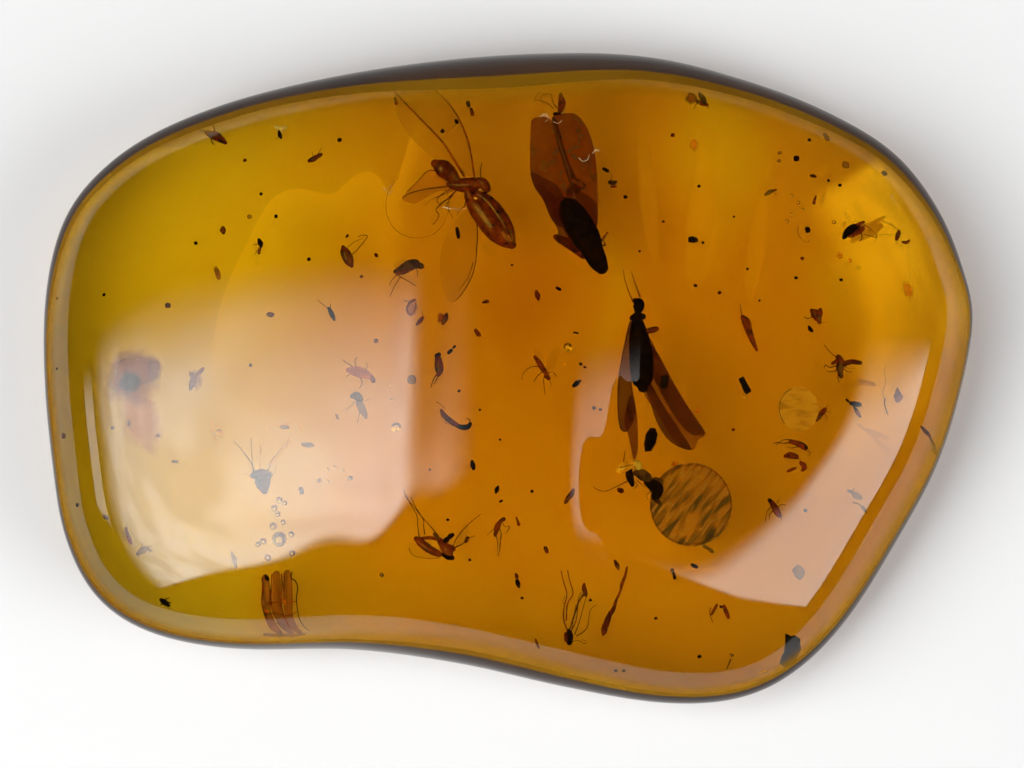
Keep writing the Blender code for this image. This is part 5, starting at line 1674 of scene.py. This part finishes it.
def build_floor():
    """A plain pale sheet, just under the stone's base."""
    material, tree, shader = new_material("paper_floor")
    set_inputs(tree, shader, Base_Color=(0.70, 0.70, 0.70, 1), Roughness=1.0, Specular_IOR_Level=0.0)
    turns = [math.tau * i / FLOOR_SIDES for i in range(FLOOR_SIDES)]
    ring = [(FLOOR_RADIUS * math.cos(t), FLOOR_RADIUS * math.sin(t), -FLOOR_GAP) for t in turns]
    mesh = new_mesh("floor", ring, [tuple(range(FLOOR_SIDES))])
    mesh.materials.append(material)
    floor = add_object("floor", mesh)


def dim_in_hole(tree, place, hole):
    """Light level that is nothing in an oval hole and full a feather's width outside it."""
    middle, radii, feather = hole
    offset = node(tree, "ShaderNodeVectorMath", place, (*middle, PANEL_HEIGHT), operation="SUBTRACT")
    shares = (1 / radii[0], 1 / radii[1], 0)
    flat = node(tree, "ShaderNodeVectorMath", offset, shares, operation="MULTIPLY")
    return ease(tree, length_of(tree, flat), 1.0, 1.0 + feather)


def cloudy(tree, place, cloud):
    """Uneven light level, down to 1 - cloud."""
    glow = tree.nodes.new("ShaderNodeMapRange")
    set_inputs(tree, glow, Value=noise(tree, place, 9.0, 1.0), From_Min=0.35, From_Max=0.65,
               To_Min=1.0 - cloud)
    return glow.outputs[0]


def soft_panel(name, x_range, y_range, radiance, fade, slant=0.0, hole=None, cloud=0.0):
    """A softbox facing down; its measures are metres.

    Fade is how far each side (low x, high x, low y, high y) dims inward. Slant is how steeply the low y side
    climbs: towards high x where it is positive, towards low x where it is negative. A hole is an oval left
    dark: middle, radii and feather. Cloud is how unevenly the cloth glows.
    """
    lamp = bpy.data.lights.new(name, "AREA")
    lamp.shape = "RECTANGLE"
    lamp.size = x_range[1] - x_range[0]
    lamp.size_y = y_range[1] - y_range[0]
    lamp.energy = radiance * math.pi * lamp.size * lamp.size_y
    panel = add_object(name, lamp)
    panel.location = (sum(x_range) / 2, sum(y_range) / 2, PANEL_HEIGHT)
    panel.visible_camera = False
    lamp.use_nodes = True
    tree = lamp.node_tree
    place = tree.nodes.new("ShaderNodeNewGeometry").outputs["Position"]
    x, y, _ = split_place(tree, place)
    corner = x_range[0] if slant > 0 else x_range[1]
    slanted = math_node(tree, "ADD", y, math_node(tree, "MULTIPLY_ADD", x, -slant, slant * corner))
    sides = ((x, x_range[0], fade[0]), (x, x_range[1], -fade[1]), (slanted, y_range[0], fade[2]),
             (y, y_range[1], -fade[3]))
    levels = [ease(tree, across, edge, edge + reach) for across, edge, reach in sides if reach]
    if hole is not None:
        levels.append(dim_in_hole(tree, place, hole))
    if cloud > 0:
        levels.append(cloudy(tree, place, cloud))
    level = levels[0]
    for other in levels[1:]:
        level = math_node(tree, "MULTIPLY", level, other)
    tree.links.new(level, tree.nodes["Emission"].inputs["Strength"])


def build_studio():
    soft_panel("left_softbox", (-1.15, -0.05), (-1.27, 0.235), 9.2, (0.7, 0.07, 0.05, 0.27),
               slant=1.08, cloud=0.34)
    soft_panel("left_strip", (-0.16, -0.075), (-0.12, 0.25), 3.0, (0.07, 0.01, 0.06, 0.12))
    soft_panel("right_softbox", (0.05, 2.1), (-1.92, 0.14), 5.0, (0.14, 0.1, 0.03, 0.36),
               slant=-0.82, hole=((0.20, 0.0), (0.19, 0.26), 0.6))
    soft_panel("middle_streak", (0.028, 0.09), (-0.24, 0.1), 3.4, (0.03, 0.035, 0.1, 0.1), cloud=0.3)
    soft_panel("middle_haze", (0.02, 0.3), (-0.34, 0.14), 1.4, (0.1, 0.1, 0.15, 0.2))
    soft_panel("far_left_softbox", (-1.7, -1.1), (-0.45, 0.15), 3.2, (0, 0, 0.1, 0.2))
    soft_panel("far_right_softbox", (1.1, 1.6), (-0.2, 0.12), 4.0, (0, 0, 0.1, 0.1))
    world = bpy.data.worlds.new("studio")
    bpy.context.scene.world = world
    world.use_nodes = True
    world.node_tree.nodes["Background"].inputs["Color"].default_value = (0.012, 0.012, 0.012, 1)
    bpy.context.scene.view_settings.view_transform = "Standard"


def build_camera():
    eye, back = eye_point()
    data = bpy.data.cameras.new("camera")
    data.lens = CAMERA_LENS
    data.clip_start = 0.01
    camera = add_object("camera", data)
    camera.location = Vector(eye) * MM
    camera.rotation_euler = Vector(-back).to_track_quat("-Z", "Y").to_euler()
    bpy.context.scene.camera = camera


build_stone()
build_shoulder_shade()
build_creatures()
scatter_debris()
lay_stains_and_glows()
lay_flaws()
lay_dust()
build_floor()
build_studio()
build_camera()
